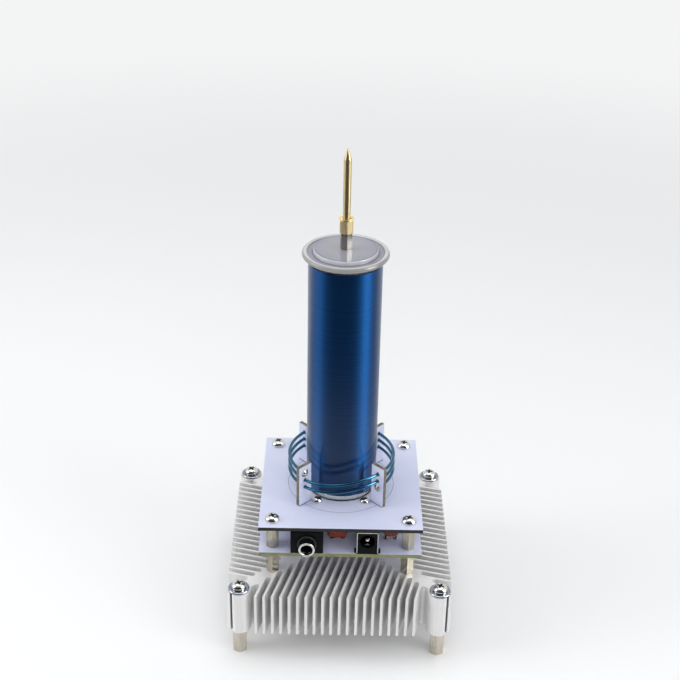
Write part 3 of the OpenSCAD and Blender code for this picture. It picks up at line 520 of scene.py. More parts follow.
for name, finish in NODE_FINISHES.items():
    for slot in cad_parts[name].material_slots:
        slot.material = finish
print("nodes finished:", len(NODE_FINISHES))

# %% [markdown]
# ## Tools for shaping pieces
#
# Every new piece is a list of points, in millimetres, and a list of faces. Turned shapes spin a profile,
# as on a lathe. Swept shapes carry a section along a path, as a die draws wire. Blocks get rounded edges,
# and Blender's own Boolean cuts the holes. One last helper turns the lists into a piece.

# %% Turned and swept shapes
def band(low, high, count):
    """Faces between two rings of points, whose numbers begin at low and high."""
    return [[low + k, low + (k + 1) % count, high + (k + 1) % count, high + k] for k in range(count)]


def turned(profile, steps=48, loop=False):
    """Spins (radius, height) pairs about Z. A loop closes the profile on itself, for a ring."""
    points, faces, painted_light_rings = [], [], []
    for radius, height in profile:
        count = 1 if radius == 0 else steps
        painted_light_rings.append([len(points) + k for k in range(count)])
        for k in range(count):
            angle = math.tau * k / steps
            points.append(Vector((radius * math.cos(angle), radius * math.sin(angle), height)))
    for low, high in zip(painted_light_rings, painted_light_rings[1:] + ([painted_light_rings[0]] if loop else [])):
        for k in range(steps):
            corners = [low[k % len(low)], low[(k + 1) % len(low)], high[(k + 1) % len(high)], high[k % len(high)]]
            faces.append(list(dict.fromkeys(corners)))
    return points, [face for face in faces if len(face) > 2]


def bar(radius, z_low, z_high, steps=48):
    return turned([(0, z_low), (radius, z_low), (radius, z_high), (0, z_high)], steps)


def circle(radius, sides=12):
    return [(radius * math.cos(math.tau * k / sides), radius * math.sin(math.tau * k / sides)) for k in range(sides)]


def strip(width, thick):
    """Flat section with nipped corners."""
    w, t, nip = width / 2, thick / 2, min(width, thick) * 0.2
    return [(w - nip, -t), (w, nip - t), (w, t - nip), (w - nip, t), (nip - w, t), (-w, t - nip), (-w, nip - t),
            (nip - w, -t)]


def swept(path, section, side=(1, 0, 0)):
    """Carries a section along a path. side is the direction of the section's width at the start."""
    points, count, last = [], len(section), len(path) - 1
    side = Vector(side)
    for i, place in enumerate(path):
        before, after = path[max(i - 1, 0)], path[min(i + 1, last)]
        heading = (Vector(after) - Vector(before)).normalized()
        side = (side - heading * side.dot(heading)).normalized()
        rise = heading.cross(side)
        points += [Vector(place) + a * side + b * rise for a, b in section]
    faces = [face for i in range(last) for face in band(i * count, (i + 1) * count, count)]
    return points, faces + [list(range(count)), list(range(last * count, len(points)))]


def moved(shape, matrix):
    return [matrix @ point for point in shape[0]], shape[1]


def shifted(shape, x, y, z):
    return moved(shape, Matrix.Translation((x, y, z)))


def spun(shape, degrees):
    return moved(shape, Matrix.Rotation(math.radians(degrees), 4, "Z"))


def together(*shapes):
    points, faces = [], []
    for more_points, more_faces in shapes:
        first = len(points)
        points += more_points
        faces += [[first + k for k in face] for face in more_faces]
    return points, faces


def aimed(shape, direction, place):
    """Turns a shape's Z to a direction and sets it down at a place. Aimed to the front, X stays X and Y is up."""
    turn = Vector((0, 0, 1)).rotation_difference(Vector(direction)).to_matrix().to_4x4()
    return moved(shape, Matrix.Translation(place) @ turn)


# %% Blocks, cuts and pieces
def block(low, high):
    corners = [Vector((x, y, z)) for x in (low[0], high[0]) for y in (low[1], high[1]) for z in (low[2], high[2])]
    return corners, [[0, 1, 3, 2], [4, 6, 7, 5], [0, 4, 5, 1], [2, 3, 7, 6], [0, 2, 6, 4], [1, 5, 7, 3]]


def closed_mesh(shape, name):
    """Blender mesh with doubled points merged and every face turned outwards."""
    build = bmesh.new()
    corners = [build.verts.new(point) for point in shape[0]]
    for face in shape[1]:
        build.faces.new([corners[k] for k in face])
    bmesh.ops.remove_doubles(build, verts=build.verts, dist=0.002)
    bmesh.ops.recalc_face_normals(build, faces=build.faces)
    mesh = bpy.data.meshes.new(name)
    build.to_mesh(mesh)
    build.free()
    return mesh


def carved(shape, joined=(), cut=(), within=(), edge=0.0, steps=2):
    """Trims, joins and cuts closed shapes, rounds the sharp edges, and gives back points and faces."""
    def loose(some_shape):
        return into_scene("loose", closed_mesh(some_shape, "loose"))

    base = loose(shape)
    tools = [(loose(tool), "INTERSECT") for tool in within]
    tools += [(loose(tool), "UNION") for tool in joined] + [(loose(tool), "DIFFERENCE") for tool in cut]
    for tool, operation in tools:
        change = base.modifiers.new("change", "BOOLEAN")
        change.operation, change.solver, change.object = operation, "EXACT", tool
    if edge:
        rounding = base.modifiers.new("rounding", "BEVEL")
        rounding.width, rounding.segments, rounding.limit_method = edge, steps, "ANGLE"
        rounding.angle_limit = math.radians(40)
    done = bpy.data.meshes.new_from_object(base.evaluated_get(bpy.context.evaluated_depsgraph_get()))
    result = [vertex.co.copy() for vertex in done.vertices], [list(face.vertices) for face in done.polygons]
    for scrap in [base] + [tool for tool, operation in tools]:
        scrap_mesh = scrap.data
        bpy.data.objects.remove(scrap)
        bpy.data.meshes.remove(scrap_mesh)
    bpy.data.meshes.remove(done)
    return result


def add_piece(name, shape, finish, stands_for=None, sharp_above=38):
    """Piece in metres, smooth except where it turns sharply, riding on the fixed base."""
    mesh = closed_mesh(shape, name)
    mesh.transform(Matrix.Scale(MM, 4))
    mesh.materials.append(finish)
    mesh.shade_smooth()
    mesh.set_sharp_from_angle(angle=math.radians(sharp_above))
    piece = into_scene(name, mesh)
    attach(piece, "base")
    if stands_for:
        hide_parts(stands_for)
    print(name, len(mesh.polygons), "faces")
    return piece


def paint(piece, finish, test):
    """Another finish on the faces whose middle, in millimetres, and normal pass a test."""
    piece.data.materials.append(finish)
    for face in piece.data.polygons:
        if test(face.center / MM, face.normal):
            face.material_index = len(piece.data.materials) - 1


# %% [markdown]
# ## Ridged bars
#
# A screw's thread and a wound coil are the same shape: a bar whose surface rises and falls along one helix.
# Its rows of points climb by one pitch in each turn, so that row by row they go from groove to crown and
# back. At both ends the rows are pressed flat, and the helper gives back those two rings as well.

# %% Helix helper
ROWS_PER_TURN = 4


def ridged(low, high, turns, crown, groove, steps):
    """Ridged bar from low to high. crown is its radius on a ridge, and groove the depth between two."""
    pitch = (high - low) / turns
    depth = (groove, groove * 0.3, 0, groove * 0.3)
    rows = (turns + 2) * ROWS_PER_TURN + 1
    points, faces = [], []
    for i in range(rows):
        for k in range(steps):
            height = low + (i / ROWS_PER_TURN + k / steps - 1) * pitch
            radius = crown - depth[i % ROWS_PER_TURN]
            if not low < height < high:
                height, radius = min(max(height, low), high), crown - groove
            angle = math.tau * k / steps
            points.append(Vector((radius * math.cos(angle), radius * math.sin(angle), height)))
    for i in range(rows - 1 - ROWS_PER_TURN):
        for k in range(steps):
            over = ROWS_PER_TURN if k == steps - 1 else 0
            a, b = i * steps + k, (i + over) * steps + (k + 1) % steps
            faces.append([a, b, b + steps, a + steps])
    top_row = rows - 1 - ROWS_PER_TURN
    return points, faces, list(range(steps)), [top_row * steps + k for k in range(steps)]


# %% [markdown]
# ## The secondary coil
#
# The fine winding is one long wire laid turn against turn, like thread on a bobbin. Thick lacquer fills most
# of each groove, so the ridges are low, and light runs along them as it does on a real coil.

# %% Ridged winding
WINDING_LOW, WINDING_HIGH, WINDING_IN, WINDING_OUT, ROUND = 59.4, 161.2, 14.5, 14.7, 72
points, faces, low_ring, high_ring = ridged(WINDING_LOW, WINDING_HIGH, 340, WINDING_OUT, 0.006, ROUND)
first = len(points)
points, faces = together((points, faces), turned([(WINDING_IN, WINDING_LOW), (WINDING_IN, WINDING_HIGH)], ROUND))
faces += band(low_ring[0], first, ROUND) + band(high_ring[0], first + ROUND, ROUND)
add_piece("secondary_turns", (points, faces), blue_enamel, "secondary_winding")

# %% [markdown]
# ## The primary coil
#
# Thick teal wire runs round the foot in two and three quarter turns, through three holes in each bracket.
# The wire is level behind the coil and drops by one hole in each span across the front, with a soft start
# and end. One rule gives every point, by the degrees that the wire has gone round.

# %% Primary wire
WIRE_RADIUS, WIRE_CIRCLE, LOWEST_TURN, TURN_RISE = 0.65, 22.0, 65.0, 3.4
LAST_STEP = 990


def primary_place(gone):
    turn = math.floor(gone / 360)
    drop = max(0.0, (gone - 360 * turn - 270) / 90)
    drop = drop * drop * (3 - 2 * drop)
    angle = math.radians(225 - gone)
    return Vector((WIRE_CIRCLE * math.cos(angle), WIRE_CIRCLE * math.sin(angle),
                   LOWEST_TURN + TURN_RISE * (2 - turn - drop)))


def primary_heading(gone):
    angle = math.radians(225 - gone)
    return Vector((math.sin(angle), -math.cos(angle), 0))


BRACKET_HALF = 0.8
primary_path = [primary_place(0) - BRACKET_HALF * primary_heading(0)]
primary_path += [primary_place(gone) for gone in range(0, LAST_STEP + 1, 5)]
primary_path.append(primary_place(LAST_STEP) + BRACKET_HALF * primary_heading(LAST_STEP))
add_piece("primary_wire", swept(primary_path, circle(WIRE_RADIUS, 18), (0, 0, 1)), teal_enamel,
          "primary_coil")

# %% [markdown]
# Each end of the wire is soldered on the face of a front bracket. A joint there is a tinned ring on the
# board, a slope of solder with a hollow flank, and the cut end of the wire standing in its middle.

# %% Solder joints on the brackets
PAD_RING = [(0, -0.02), (1.75, -0.02), (1.75, 0.04), (1.66, 0.07), (1.32, 0.07), (1.12, 0.14), (0.96, 0.26),
            (0.86, 0.42), (0.78, 0.47), (0.66, 0.44), (0.60, 0.40), (0.55, 0.48), (0.30, 0.52), (0, 0.53)]
joints = []
for gone, way in ((0, -1), (LAST_STEP, 1)):
    outward = way * primary_heading(gone)
    joints.append(aimed(turned(PAD_RING, 40), outward, primary_place(gone) + BRACKET_HALF * outward))
add_piece("primary_solder", together(*joints), tin, "primary_solder_joints", 60)

# %% [markdown]
# ## Collar and cap
#
# The collar is a turned piece of hexagonal brass. Tumbling has rounded its corners, so the rounding is made
# as real geometry. A brown line down each corner is a painted reflection of the dark front, with a finish of its own.

# %% Hexagonal collar
COLLAR_FOOT = 173.1


def soft_hexagon(flat, soft, low, high):
    """Hexagonal bar with a corner to the front and its six corners rounded."""
    points = []
    for z in (low, high):
        for k in range(6):
            corner = math.radians(30 + 60 * k)
            middle = Vector((math.cos(corner), math.sin(corner), 0)) * (flat - soft) / math.cos(math.radians(30))
            for turn in (-30, -15, 15, 30):
                angle = corner + math.radians(turn)
                points.append(middle + Vector((soft * math.cos(angle), soft * math.sin(angle), z)))
    count = len(points) // 2
    return points, band(0, count, count) + [list(range(count)), list(range(count, 2 * count))]


lip = [(0, 1), (2.4, 1), (2.4, 5.45), (2.48, 5.5), (2.72, 5.62), (2.86, 5.72), (2.9, 5.82), (2.88, 6.0), (2.8, 6.1),
       (0, 6.1)]
collar = carved(
    soft_hexagon(2.6, 0.9, 0, 5.3),
    within=[turned([(0, 0), (2.62, 0), (3.02, 0.4), (3.02, 4.9), (2.62, 5.3), (0, 5.3)], 64)],
    joined=[turned(lip, 64)],
    cut=[bar(1.55, -1, 8, 40), turned([(0, 4.5), (1.55, 4.5), (2.52, 6.12), (2.6, 6.5), (0, 6.5)], 48)])
brass_collar = add_piece("brass_collar", shifted(collar, 0, 0, COLLAR_FOOT), brass, "needle_collar", 30)


def on_corner(at, facing):
    round_the_bar = math.degrees(math.atan2(facing.y, facing.x)) % 60
    return at.z < COLLAR_FOOT + 5 and math.hypot(at.x, at.y) > 2.4 and abs(round_the_bar - 30) < 6


# Corner faces get the darker brass: a painted reflection of the dark front.
paint(brass_collar, brass_painted_corner_reflection, on_corner)

# %% [markdown]
# The cap is turned from one piece: a rounded bead round its edge, a valley, and a raised disc with a soft
# shoulder. Its plug sits inside the tube.

# %% Turned cap
bead = [(16.05 + 1.15 * math.cos(math.radians(a)), 164.15 + 1.15 * math.sin(math.radians(a)))
        for a in range(-80, 141, 10)]
cap_profile = [(1.5, 159.0), (12.3, 159.0), (12.45, 159.15), (12.45, 163.0), (15.4, 163.0)] + bead
cap_profile += [(14.9, 164.72), (14.4, 164.6), (13.2, 164.6), (12.86, 164.68), (12.72, 164.86), (12.68, 165.1),
                (12.66, 165.9), (12.58, 166.1), (12.44, 166.22), (12.2, 166.28), (11.9, 166.3), (1.5, 166.3)]
add_piece("clear_cap", turned(cap_profile, 96, loop=True), cap_acrylic, "top_cap", 50)

# %% [markdown]
# ## Screws
#
# A pan head is low and round with a cross pressed into it. Each arm of the cross slopes down to the middle,
# and the faces inside the cross get a darker nickel as painted shade. The long screws in the heat sink show
# their threads through the slots of the bosses, so every shank has a real thread. No two screws stop at the same angle.

# %% Cross-head screws
COIL_BOARD_TOP = 56.7


def wedge(top_reach, low_reach, half_width, low, high):
    points = [Vector((x * reach, y * half_width, z)) for reach, z in ((low_reach, low), (top_reach, high))
              for x, y in ((-1, -1), (1, -1), (1, 1), (-1, 1))]
    return points, [[0, 1, 2, 3], [4, 5, 6, 7]] + band(0, 4, 4)


def pan_head(r, h):
    dome = [(0, 0), (0.94 * r, 0), (r, 0.08 * h), (r, 0.24 * h), (0.985 * r, 0.38 * h), (0.94 * r, 0.54 * h),
            (0.86 * r, 0.69 * h), (0.74 * r, 0.82 * h), (0.58 * r, 0.92 * h), (0.38 * r, 0.98 * h), (0, h)]
    arm = wedge(0.54 * r, 0.24 * r, 0.15 * r, 0.34 * h, 1.05 * h)
    return carved(turned(dome, 40), cut=[arm, spun(arm, 90)])


def add_screws(name, node, sites, foot, length, diameter, r, head_h, pitch):
    """Screws whose heads, of radius r, rest at the height of foot."""
    points, faces, low_ring, high_ring = ridged(-length, 0.1, round(length / pitch), diameter / 2, 0.51 * pitch, 20)
    screw = together(pan_head(r, head_h), (points, faces + [low_ring, high_ring]))
    shapes = [shifted(spun(screw, turn), x, y, foot) for (x, y), turn in zip(sites, (25, 62, 38, 80))]
    screws = add_piece(name, together(*shapes), bright, node, 32)

    def in_cross(at, facing):
        off = min(math.hypot(at.x - x, at.y - y) for x, y in sites)
        return off < 0.56 * r and foot + 0.25 * head_h < at.z and (at.z < foot + 0.6 * head_h or facing.z < 0.6)

    # The faces inside each cross get the darker nickel: painted shade.
    paint(screws, painted_recess_shade, in_cross)


def corners_at(half):
    return [(x * half, y * half) for y in (-1, 1) for x in (-1, 1)]


base_sites = [(17.45 * math.cos(math.radians(a)), 17.45 * math.sin(math.radians(a))) for a in (235, 305, 55, 125)]
add_screws("boss_screws", "heat_sink_screws", corners_at(BOSS_PLACE), 32.3, 25, 3, 3, 2.4, 0.5)
add_screws("upper_board_screws", "board_screws", corners_at(28), COIL_BOARD_TOP, 5.2, 3, 3, 2.4, 0.5)
add_screws("tube_foot_screws", "coil_base_screws", base_sites, COIL_BOARD_TOP, 7.6, 2.5, 2.1, 1.7, 0.45)

# %% [markdown]
# A stamped washer has a rounded rim on the side where the punch went in, and the rim's faces get the bright
# nickel as a painted highlight.

# %% Washers on the bosses
WASHER = [(1.65, 0), (4.2, 0), (4.4, 0.12), (4.4, 0.5), (4.34, 0.66), (4.2, 0.76), (4.0, 0.8), (1.75, 0.8), (1.65, 0.7)]
stamped = turned(WASHER, 64, loop=True)
washers = add_piece("boss_washers", together(*(shifted(stamped, x, y, 31.5) for x, y in corners_at(BOSS_PLACE))),
                    washer, "heat_sink_washers", 50)
# Painted highlight: the rounded rim gets the bright nickel.
paint(washers, bright, lambda at, facing: 0.1 < facing.z < 0.93)

# %% [markdown]
# Each bracket stands in a slot of the board, and a thin dark strip along its foot on both sides is a painted shadow.

# %% Painted shadow lines at the brackets' feet
foot_shadows = []
for angle in (45, 135, 225, 315):
    for low, high in ((-1.0, -0.8), (0.8, 1.0)):
        foot_shadows.append(spun(block((18.6, low, COIL_BOARD_TOP), (25.2, high, COIL_BOARD_TOP + 0.12)), angle))
add_piece("bracket_foot_shadows", together(*foot_shadows), painted_shadow_dark)

# %% [markdown]
# ## The audio socket
#
# A moulded black block holds a round nose. Only the nose's front is bright: a nickel ring round a black
# mouth, with two contact tips showing low inside it. Everything is drawn with the axis as Z and then aimed
# to the front.

# %% Audio socket
FRONT = (0, -1, 0)
AUDIO_AXIS = (-13.7, -33.5, 48.6)


def add_front_pieces(place, *pieces):
    for name, shape, finish, slot, stands_for in pieces:
        add_piece(name, aimed(shape, FRONT, place), finish, stands_for)


def leaf(*path):
    """Leaf spring along pairs of Y and Z."""
    return swept([(0, y, z) for y, z in path], strip(2.3, 0.28))


audio_block = carved(
    block((-6.7, -4.5, -12), (6.7, 6.1, 0)),
    cut=[bar(3.43, -3, 1), bar(2.1, -10.8, -2), block((-5.3, 5.85, -10.6), (5.3, 7, -2.2)),
         block((-1.2, -1, -10.8), (1.2, 2.8, -3))],
    edge=0.28)
nose_sleeve = turned([(3.3, -3), (3.3, 3.3), (2.32, 3.3), (2.2, 3.15), (1.8, 2.6), (1.8, -3)], 64, loop=True)
nose_foot = turned([(3.34, 0), (4.0, 0), (4.0, 0.18), (3.9, 0.34), (3.66, 0.42), (3.34, 0.42)], 64, loop=True)
nose_ring = turned([(3.2, 3.1), (3.31, 3.12), (3.35, 3.2), (3.35, 3.78), (3.31, 3.9), (3.22, 3.98), (3.12, 4),
                    (2.68, 4), (2.56, 3.97), (2.48, 3.88), (2.45, 3.76), (2.45, 3.1)], 72, loop=True)
tip = shifted(carved(block((-0.42, -0.16, -0.5), (0.42, 0.16, 0.5)), edge=0.1), 0, 2.1, 2.75)
audio_leaf = leaf((2.65, -11.7), (2.65, -9.5), (2.45, -8.2), (2.1, -7.2), (1.95, -6.6), (2.1, -6.0), (2.4, -5.2),
                  (2.6, -4.1))
add_front_pieces(
    AUDIO_AXIS,
    ("audio_socket_block", audio_block, black_plastic, "black_plastic", "audio_socket_body"),
    ("audio_socket_sleeve", nose_sleeve, black_plastic, "black_plastic", "audio_socket_nose"),
    # The flange ring is real moulded geometry; its lighter grey is a painted highlight.
    ("audio_socket_rim", nose_foot, rim_grey_painted_highlight, "black_plastic", None),
    ("audio_socket_ring", nose_ring, polished, "nickel_nose", None),
    ("audio_contact_tips", together(spun(tip, -216), spun(tip, -144)), bright, "spring_metal", None),
    ("audio_leaf", audio_leaf, spring, "spring_metal", "audio_socket_spring"))

# %% [markdown]
# ## The power socket
#
# Its front is a square frame with a round recess and a bright pin. A pale grey strip along the frame's top and
# side edges is a painted highlight. Below the pin, the end of the leaf spring has a round bump that touches the plug.

# %% Power socket
POWER_AXIS = (11.1, -33.5, 50.3)
POWER_LEN, RECESS_DEPTH = 14.02, 9.52
power_block = carved(
    block((-4.5, -6.2, -3.4), (4.5, 4.6, 0)),
    joined=[block((-4.5, -6.2, -POWER_LEN), (4.5, 0, -3)), bar(4.3, 0.3 - POWER_LEN, -0.5, 64)],
    cut=[bar(3.2, -RECESS_DEPTH, 1, 64), block((-1.2, -3.7, -RECESS_DEPTH), (1.2, -2, -1.2)),
         bar(1.03, -20, 0, 32)],
    edge=0.22)
edge_path = [(-4.25, -5.7, -0.14), (-4.25, 3.95, -0.14), (-4.15, 4.25, -0.14), (-3.85, 4.35, -0.14),
             (3.85, 4.35, -0.14), (4.15, 4.25, -0.14), (4.25, 3.95, -0.14), (4.25, -5.7, -0.14)]
feet = [carved(block((x, -6.2, -1.9), (x + 0.95, -4.5, -0.6)), edge=0.15) for x in (-5.4, 4.45)]
pin = turned([(0, -POWER_LEN), (1, -POWER_LEN), (1, -1.75), (0.97, -1.5), (0.86, -1.25), (0.66, -1.08),
              (0.35, -1.01), (0, -1)], 40)
power_leaf = leaf((-3.52, -9.45), (-3.5, -7.5), (-3.2, -5.0), (-2.75, -3.2), (-2.45, -2.3), (-2.3, -1.85),
                  (-2.32, -1.55), (-2.5, -1.3))
contact_bump = shifted(turned([(0, -2.3), (0.55, -2.3), (0.55, -1.8), (0.5, -1.62), (0.36, -1.5), (0.18, -1.44),
                               (0, -1.42)], 32), 0, -2.62, 0)
add_front_pieces(
    POWER_AXIS,
    ("power_socket_block", power_block, black_plastic, "black_plastic", "power_socket_body"),
    # Painted highlight: a pale grey strip along the frame's top and side edges.
    ("power_socket_edge_highlight", swept(edge_path, strip(0.42, 0.36)), edge_painted_highlight, "black_plastic", None),
    ("power_socket_feet", together(*feet), black_plastic, "black_plastic", None),
    ("power_socket_contact_pin", pin, polished, "spring_metal", "power_socket_pin"),
    ("power_leaf", together(power_leaf, contact_bump), polished, "spring_metal", "power_socket_spring"))

# %% [markdown]
# ## Capacitors
#
# The red-brown ones are dipped in epoxy, which leaves a soft lozenge with a drip down each lead. A lozenge
# is a sphere whose curves are squared off by a power. The upright cans are turned: a rubber foot, a crimped
# groove, a printed sleeve and an aluminium top with scored lines.

# %% Dipped capacitors
def squared(value, power):
    return math.copysign(abs(value) ** power, value)


def lozenge(width, thick, height, across=48, up_steps=24):
    points = [Vector((0, 0, -height / 2))]
    for i in range(1, up_steps):
        tilt = math.pi * (i / up_steps - 0.5)
        flat = squared(math.cos(tilt), 0.32)
        for k in range(across):
            turn = math.tau * k / across
            points.append(Vector((width / 2 * flat * squared(math.cos(turn), 0.75),
                                  thick / 2 * flat * squared(math.sin(turn), 0.85),
                                  height / 2 * squared(math.sin(tilt), 0.8))))
    points.append(Vector((0, 0, height / 2)))
    top = len(points) - 1
    faces = [face for i in range(up_steps - 2) for face in band(1 + i * across, 1 + (i + 1) * across, across)]
    for k in range(across):
        n = (k + 1) % across
        faces += [[0, 1 + n, 1 + k], [top, top - across + k, top - across + n]]
    return points, faces


BOARD_TOP, FILM_LEAD, FILM_Y = 44.1, 2.2, -22.3
FILM_PARTS = (("middle", -1.2, 44.6, 8.6), ("right", 21.1, 45.7, 6.8))
for name, x, low, width in FILM_PARTS:
    body = shifted(lozenge(width, 4, 7), x, FILM_Y, low + 3.5)
    drip = [(0, BOARD_TOP), (0.38, BOARD_TOP), (0.38, low - 0.2), (0.4, low), (0.44, low + 0.3), (0.5, low + 1.6),
            (0, low + 1.6)]
    drips = [shifted(turned(drip, 20), x + side * FILM_LEAD, FILM_Y, 0) for side in (-1, 1)]
    dipped = add_piece("dipped_capacitor_" + name, together(body, *drips), red_epoxy,
                       "film_capacitor_" + name, 60)
    # The drips below each body get the dark plastic: a painted shadow under the capacitor.
    paint(dipped, painted_shadow_dark, lambda at, facing: at.z < low - 0.05)

# %% Upright cans
CAN_X, CAN_Y = -26, 5.5
CAN_PROFILE = [(0, BOARD_TOP), (3.3, BOARD_TOP), (3.5, 44.3), (3.5, 44.5), (3.86, 44.6), (3.98, 44.8), (4, 45.1),
               (4, 45.6), (3.9, 45.85), (3.72, 46.05), (3.72, 46.25), (3.9, 46.45), (4, 46.7), (4, 52.9), (3.96, 53.2),
               (3.82, 53.42), (3.6, 53.52), (3.36, 53.5), (3.3, 53.4), (3.2, 53.42), (3.05, 53.46), (0, 53.46)]
score = block((-2.3, -0.09, 53.32), (2.3, 0.09, 54))
can = carved(turned(CAN_PROFILE, 56), cut=[score, spun(score, 90)])
cans = add_piece("upright_cans", together(*(shifted(can, CAN_X, y, 0) for y in (-CAN_Y, CAN_Y))), dark_sleeve,
                 "electrolytic_capacitors")
paint(cans, can_top, lambda at, facing: at.z > 53.2 and math.hypot(at.x - CAN_X, abs(at.y) - CAN_Y) < 3.36)
paint(cans, pale_stripe, lambda at, facing: 44.7 < at.z < 53.3 and facing.x < -0.86 and at.x < -29)

# %% [markdown]
# ## Chip, resistors and diodes
#
# The chip's sides slope to a parting line half-way up, and a half-round notch marks its first end. The
# resistors are dipped bars with a swelling at each end and painted bands, and the diodes are plain bars
# with a silver band. Their leads leave the ends and turn down through the board.

# %% Chip
CHIP = Vector((25, 2, 44.6))
LAYERS = ((0.28, 0), (0, 1.5), (0, 1.8), (0.3, 3.3))
chip_points = [Vector((x * (3.2 - inset), y * (4.7 - inset), z)) for inset, z in LAYERS
               for x, y in ((1, 1), (-1, 1), (-1, -1), (1, -1))]
chip_faces = [[0, 1, 2, 3], [12, 13, 14, 15]] + band(0, 4, 4) + band(4, 8, 4) + band(8, 12, 4)
chip_body = carved((chip_points, chip_faces), edge=0.1,
                   cut=[shifted(bar(0.8, 2.8, 4, 24), 0, 4.6, 0), shifted(bar(0.45, 3.15, 4, 24), -2.1, 3.2, 0)])
add_piece("driver_chip_body", shifted(chip_body, *CHIP), black_moulding, "driver_chip")

# %% Resistors and diodes
AXIAL_Y, AXIAL_HALF_SPAN, LEAD_RADIUS, LEAD_LOW, BEND = 22.0, 5.1, 0.35, 41.1, 0.8
RESISTOR_X, DIODE_X = (-4, 0, 4), (-14, -18)


def quarter_turn(x, y, z, run, rise):
    """Points of a bend from level to upright."""
    angles = [math.radians(15 * k) for k in range(1, 7)]
    return [(x, y + run * math.sin(a), z + rise * (1 - math.cos(a))) for a in angles]


def lying_parts(profile, places, axis_z):
    """Bodies of lying parts, and their leads: out of the ends, round a bend and down through the board."""
    body, bodies, leads = turned(profile, 28), [], []
    for x in places:
        bodies.append(aimed(body, FRONT, (x, AXIAL_Y, axis_z)))
        for way in (-1, 1):
            end = AXIAL_Y + way * AXIAL_HALF_SPAN
            start = end - way * BEND
            path = [(x, AXIAL_Y + way * (profile[-1][1] - 0.3), axis_z), (x, start, axis_z)]
            path += quarter_turn(x, start, axis_z, way * BEND, -BEND) + [(x, end, LEAD_LOW)]
            leads.append(swept(path, circle(LEAD_RADIUS, 12)))
    return together(*bodies), leads


BANDS = ((-2.05, -1.65, band_brown), (-0.95, -0.6, band_black), (-0.25, 0.1, band_orange), (0.45, 0.8, band_brown),
         (1.75, 2.1, band_gold))
resistor = [(0, -3.1), (0.5, -3.08), (0.9, -2.92), (1.12, -2.6), (1.2, -2.2)]
for low, high, colour in BANDS:
    resistor += [(0.985 if abs(z) < 1.3 else 1.17, z) for z in (low, high)]
resistor += [(1.2, 2.2), (1.12, 2.6), (0.9, 2.92), (0.5, 3.08), (0, 3.1)]
bodies, resistor_leads = lying_parts(resistor, RESISTOR_X, 45.3)
resistor_bodies = add_piece("resistor_bodies", bodies, lacquer_tan, "resistors", 60)
for low, high, colour in BANDS:
    paint(resistor_bodies, colour, lambda at, facing: low < AXIAL_Y - at.y < high and abs(facing.y) < 0.9)
diode = [(0, -2.5), (1.1, -2.5), (1.26, -2.42), (1.3, -2.3), (1.3, -1.8), (1.3, -1.1), (1.3, 2.3), (1.26, 2.42),
         (1.1, 2.5), (0, 2.5)]
bodies, diode_leads = lying_parts(diode, DIODE_X, 45.4)
diode_bodies = add_piece("diode_bodies", bodies, black_moulding, "diodes")
paint(diode_bodies, pale_stripe, lambda at, facing: -1.8 < AXIAL_Y - at.y < -1.1)
add_piece("lying_leads", together(*resistor_leads, *diode_leads), tin)

# %% [markdown]
# ## Leads and solder
#
# Every lead stands in a tinned ring on the board and ends below it in a small cone of solder. The chip's
# legs are flat, wide at the shoulder and narrow where they enter the board.

# %% Standing leads
socket_sites = [(side * 5 - 13.7, y - 33.5) for side in (-1, 1) for y in (3, 9.5)]
socket_sites += [(11.1, POWER_LEN - 34.5), (11.1, POWER_LEN / 2 - 33.5), (14.6, POWER_LEN * 0.75 - 33.5)]
can_sites = [(CAN_X, y + side * 1.75) for y in (-CAN_Y, CAN_Y) for side in (-1, 1)]
film_sites = [(x + side * FILM_LEAD, FILM_Y) for name, x, low, width in FILM_PARTS for side in (-1, 1)]
chip_sites = [(CHIP.x + side * 3.8, CHIP.y + (k - 1.5) * 2.54) for k in range(4) for side in (-1, 1)]
axial_sites = [(x, AXIAL_Y + way * AXIAL_HALF_SPAN) for x in RESISTOR_X + DIODE_X for way in (-1, 1)]
LEG_Y = 11.9
leg_sites = [(x, LEG_Y) for x in (-5.45, 0, 5.45)]

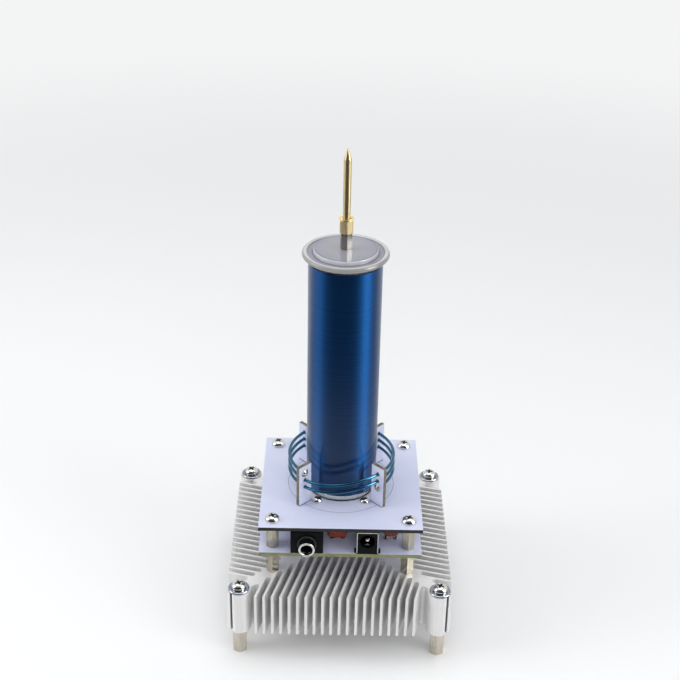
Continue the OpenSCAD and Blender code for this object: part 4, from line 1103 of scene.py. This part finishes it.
standing = []
for sites, highs, section in ((can_sites, [44.5] * 4, circle(LEAD_RADIUS, 12)),
                              (film_sites, [45.2, 45.2, 46.3, 46.3], circle(LEAD_RADIUS, 12)),
                              (socket_sites, [44.6] * 7, strip(1.0, 0.4))):
    for (x, y), high in zip(sites, highs):
        standing.append(swept([(x, y, LEAD_LOW), (x, y, high)], section))
for x, y in chip_sites:
    way = 1 if x > CHIP.x else -1
    shoulder = [(x - way * 1.1, y, 46.25), (x - way * 0.35, y, 46.25), (x - way * 0.12, y, 46.17),
                (x, y, 45.95), (x, y, 44.6)]
    standing.append(swept(shoulder, strip(1.3, 0.26), (0, 1, 0)))
    standing.append(swept([(x, y, 44.9), (x, y, LEAD_LOW)], strip(0.5, 0.26), (0, 1, 0)))
add_piece("standing_leads", together(*standing), tin, "component_leads")

# %% Pads and solder cones
CONE = [(0, 41.72), (0.4, 41.72), (0.46, 41.95), (0.62, 42.2), (0.92, 42.4), (1.15, 42.46), (1.2, 42.5), (0, 42.5)]
PAD = [(0, BOARD_TOP), (1.15, BOARD_TOP), (1.15, 44.13), (0.95, 44.16), (0.6, 44.24), (0.42, 44.42), (0, 44.42)]
all_sites = socket_sites + can_sites + film_sites + chip_sites + axial_sites + leg_sites
joint = together(turned(CONE, 20), turned(PAD, 20))
add_piece("board_solder", together(*(shifted(joint, x, y, 0) for x, y in all_sites)), tin, None, 50)

# %% [markdown]
# ## The power transistor
#
# A flat moulded package, clamped on the core of the heat sink with a grey pad below it. It has rounded
# edges, a half-round relief at each side of its screw and two shallow dimples, and three legs that widen
# at the package and turn up to the board.

# %% Transistor
HOLES = ((1.8, 30, 40, 0, -7.2), (1.7, 33.4, 32, -8.3, -7.2), (1.7, 33.4, 32, 8.3, -7.2), (1.0, 36.55, 32, -5.2, 5.6),
         (1.0, 36.55, 32, 5.2, 5.6))
transistor_body = carved(block((-7.9, -11.3, 31.8), (7.9, 9.3, 36.8)), edge=0.35,
                         cut=[shifted(bar(r, low, 38, steps), x, y, 0) for r, low, steps, x, y in HOLES])
add_piece("transistor_package", transistor_body, black_moulding, "power_transistor")
legs = []
for x, y in leg_sites:
    legs.append(swept([(x, 8.6, 34.6), (x, 10.9, 34.6)], strip(2.1, 0.6)))
    leg_path = [(x, 10.4, 34.6), (x, 11.1, 34.6)] + quarter_turn(x, 11.1, 34.6, BEND, BEND) + [(x, y, 45.1)]
    legs.append(swept(leg_path, strip(1.1, 0.6)))
add_piece("transistor_legs", together(*legs), tin)
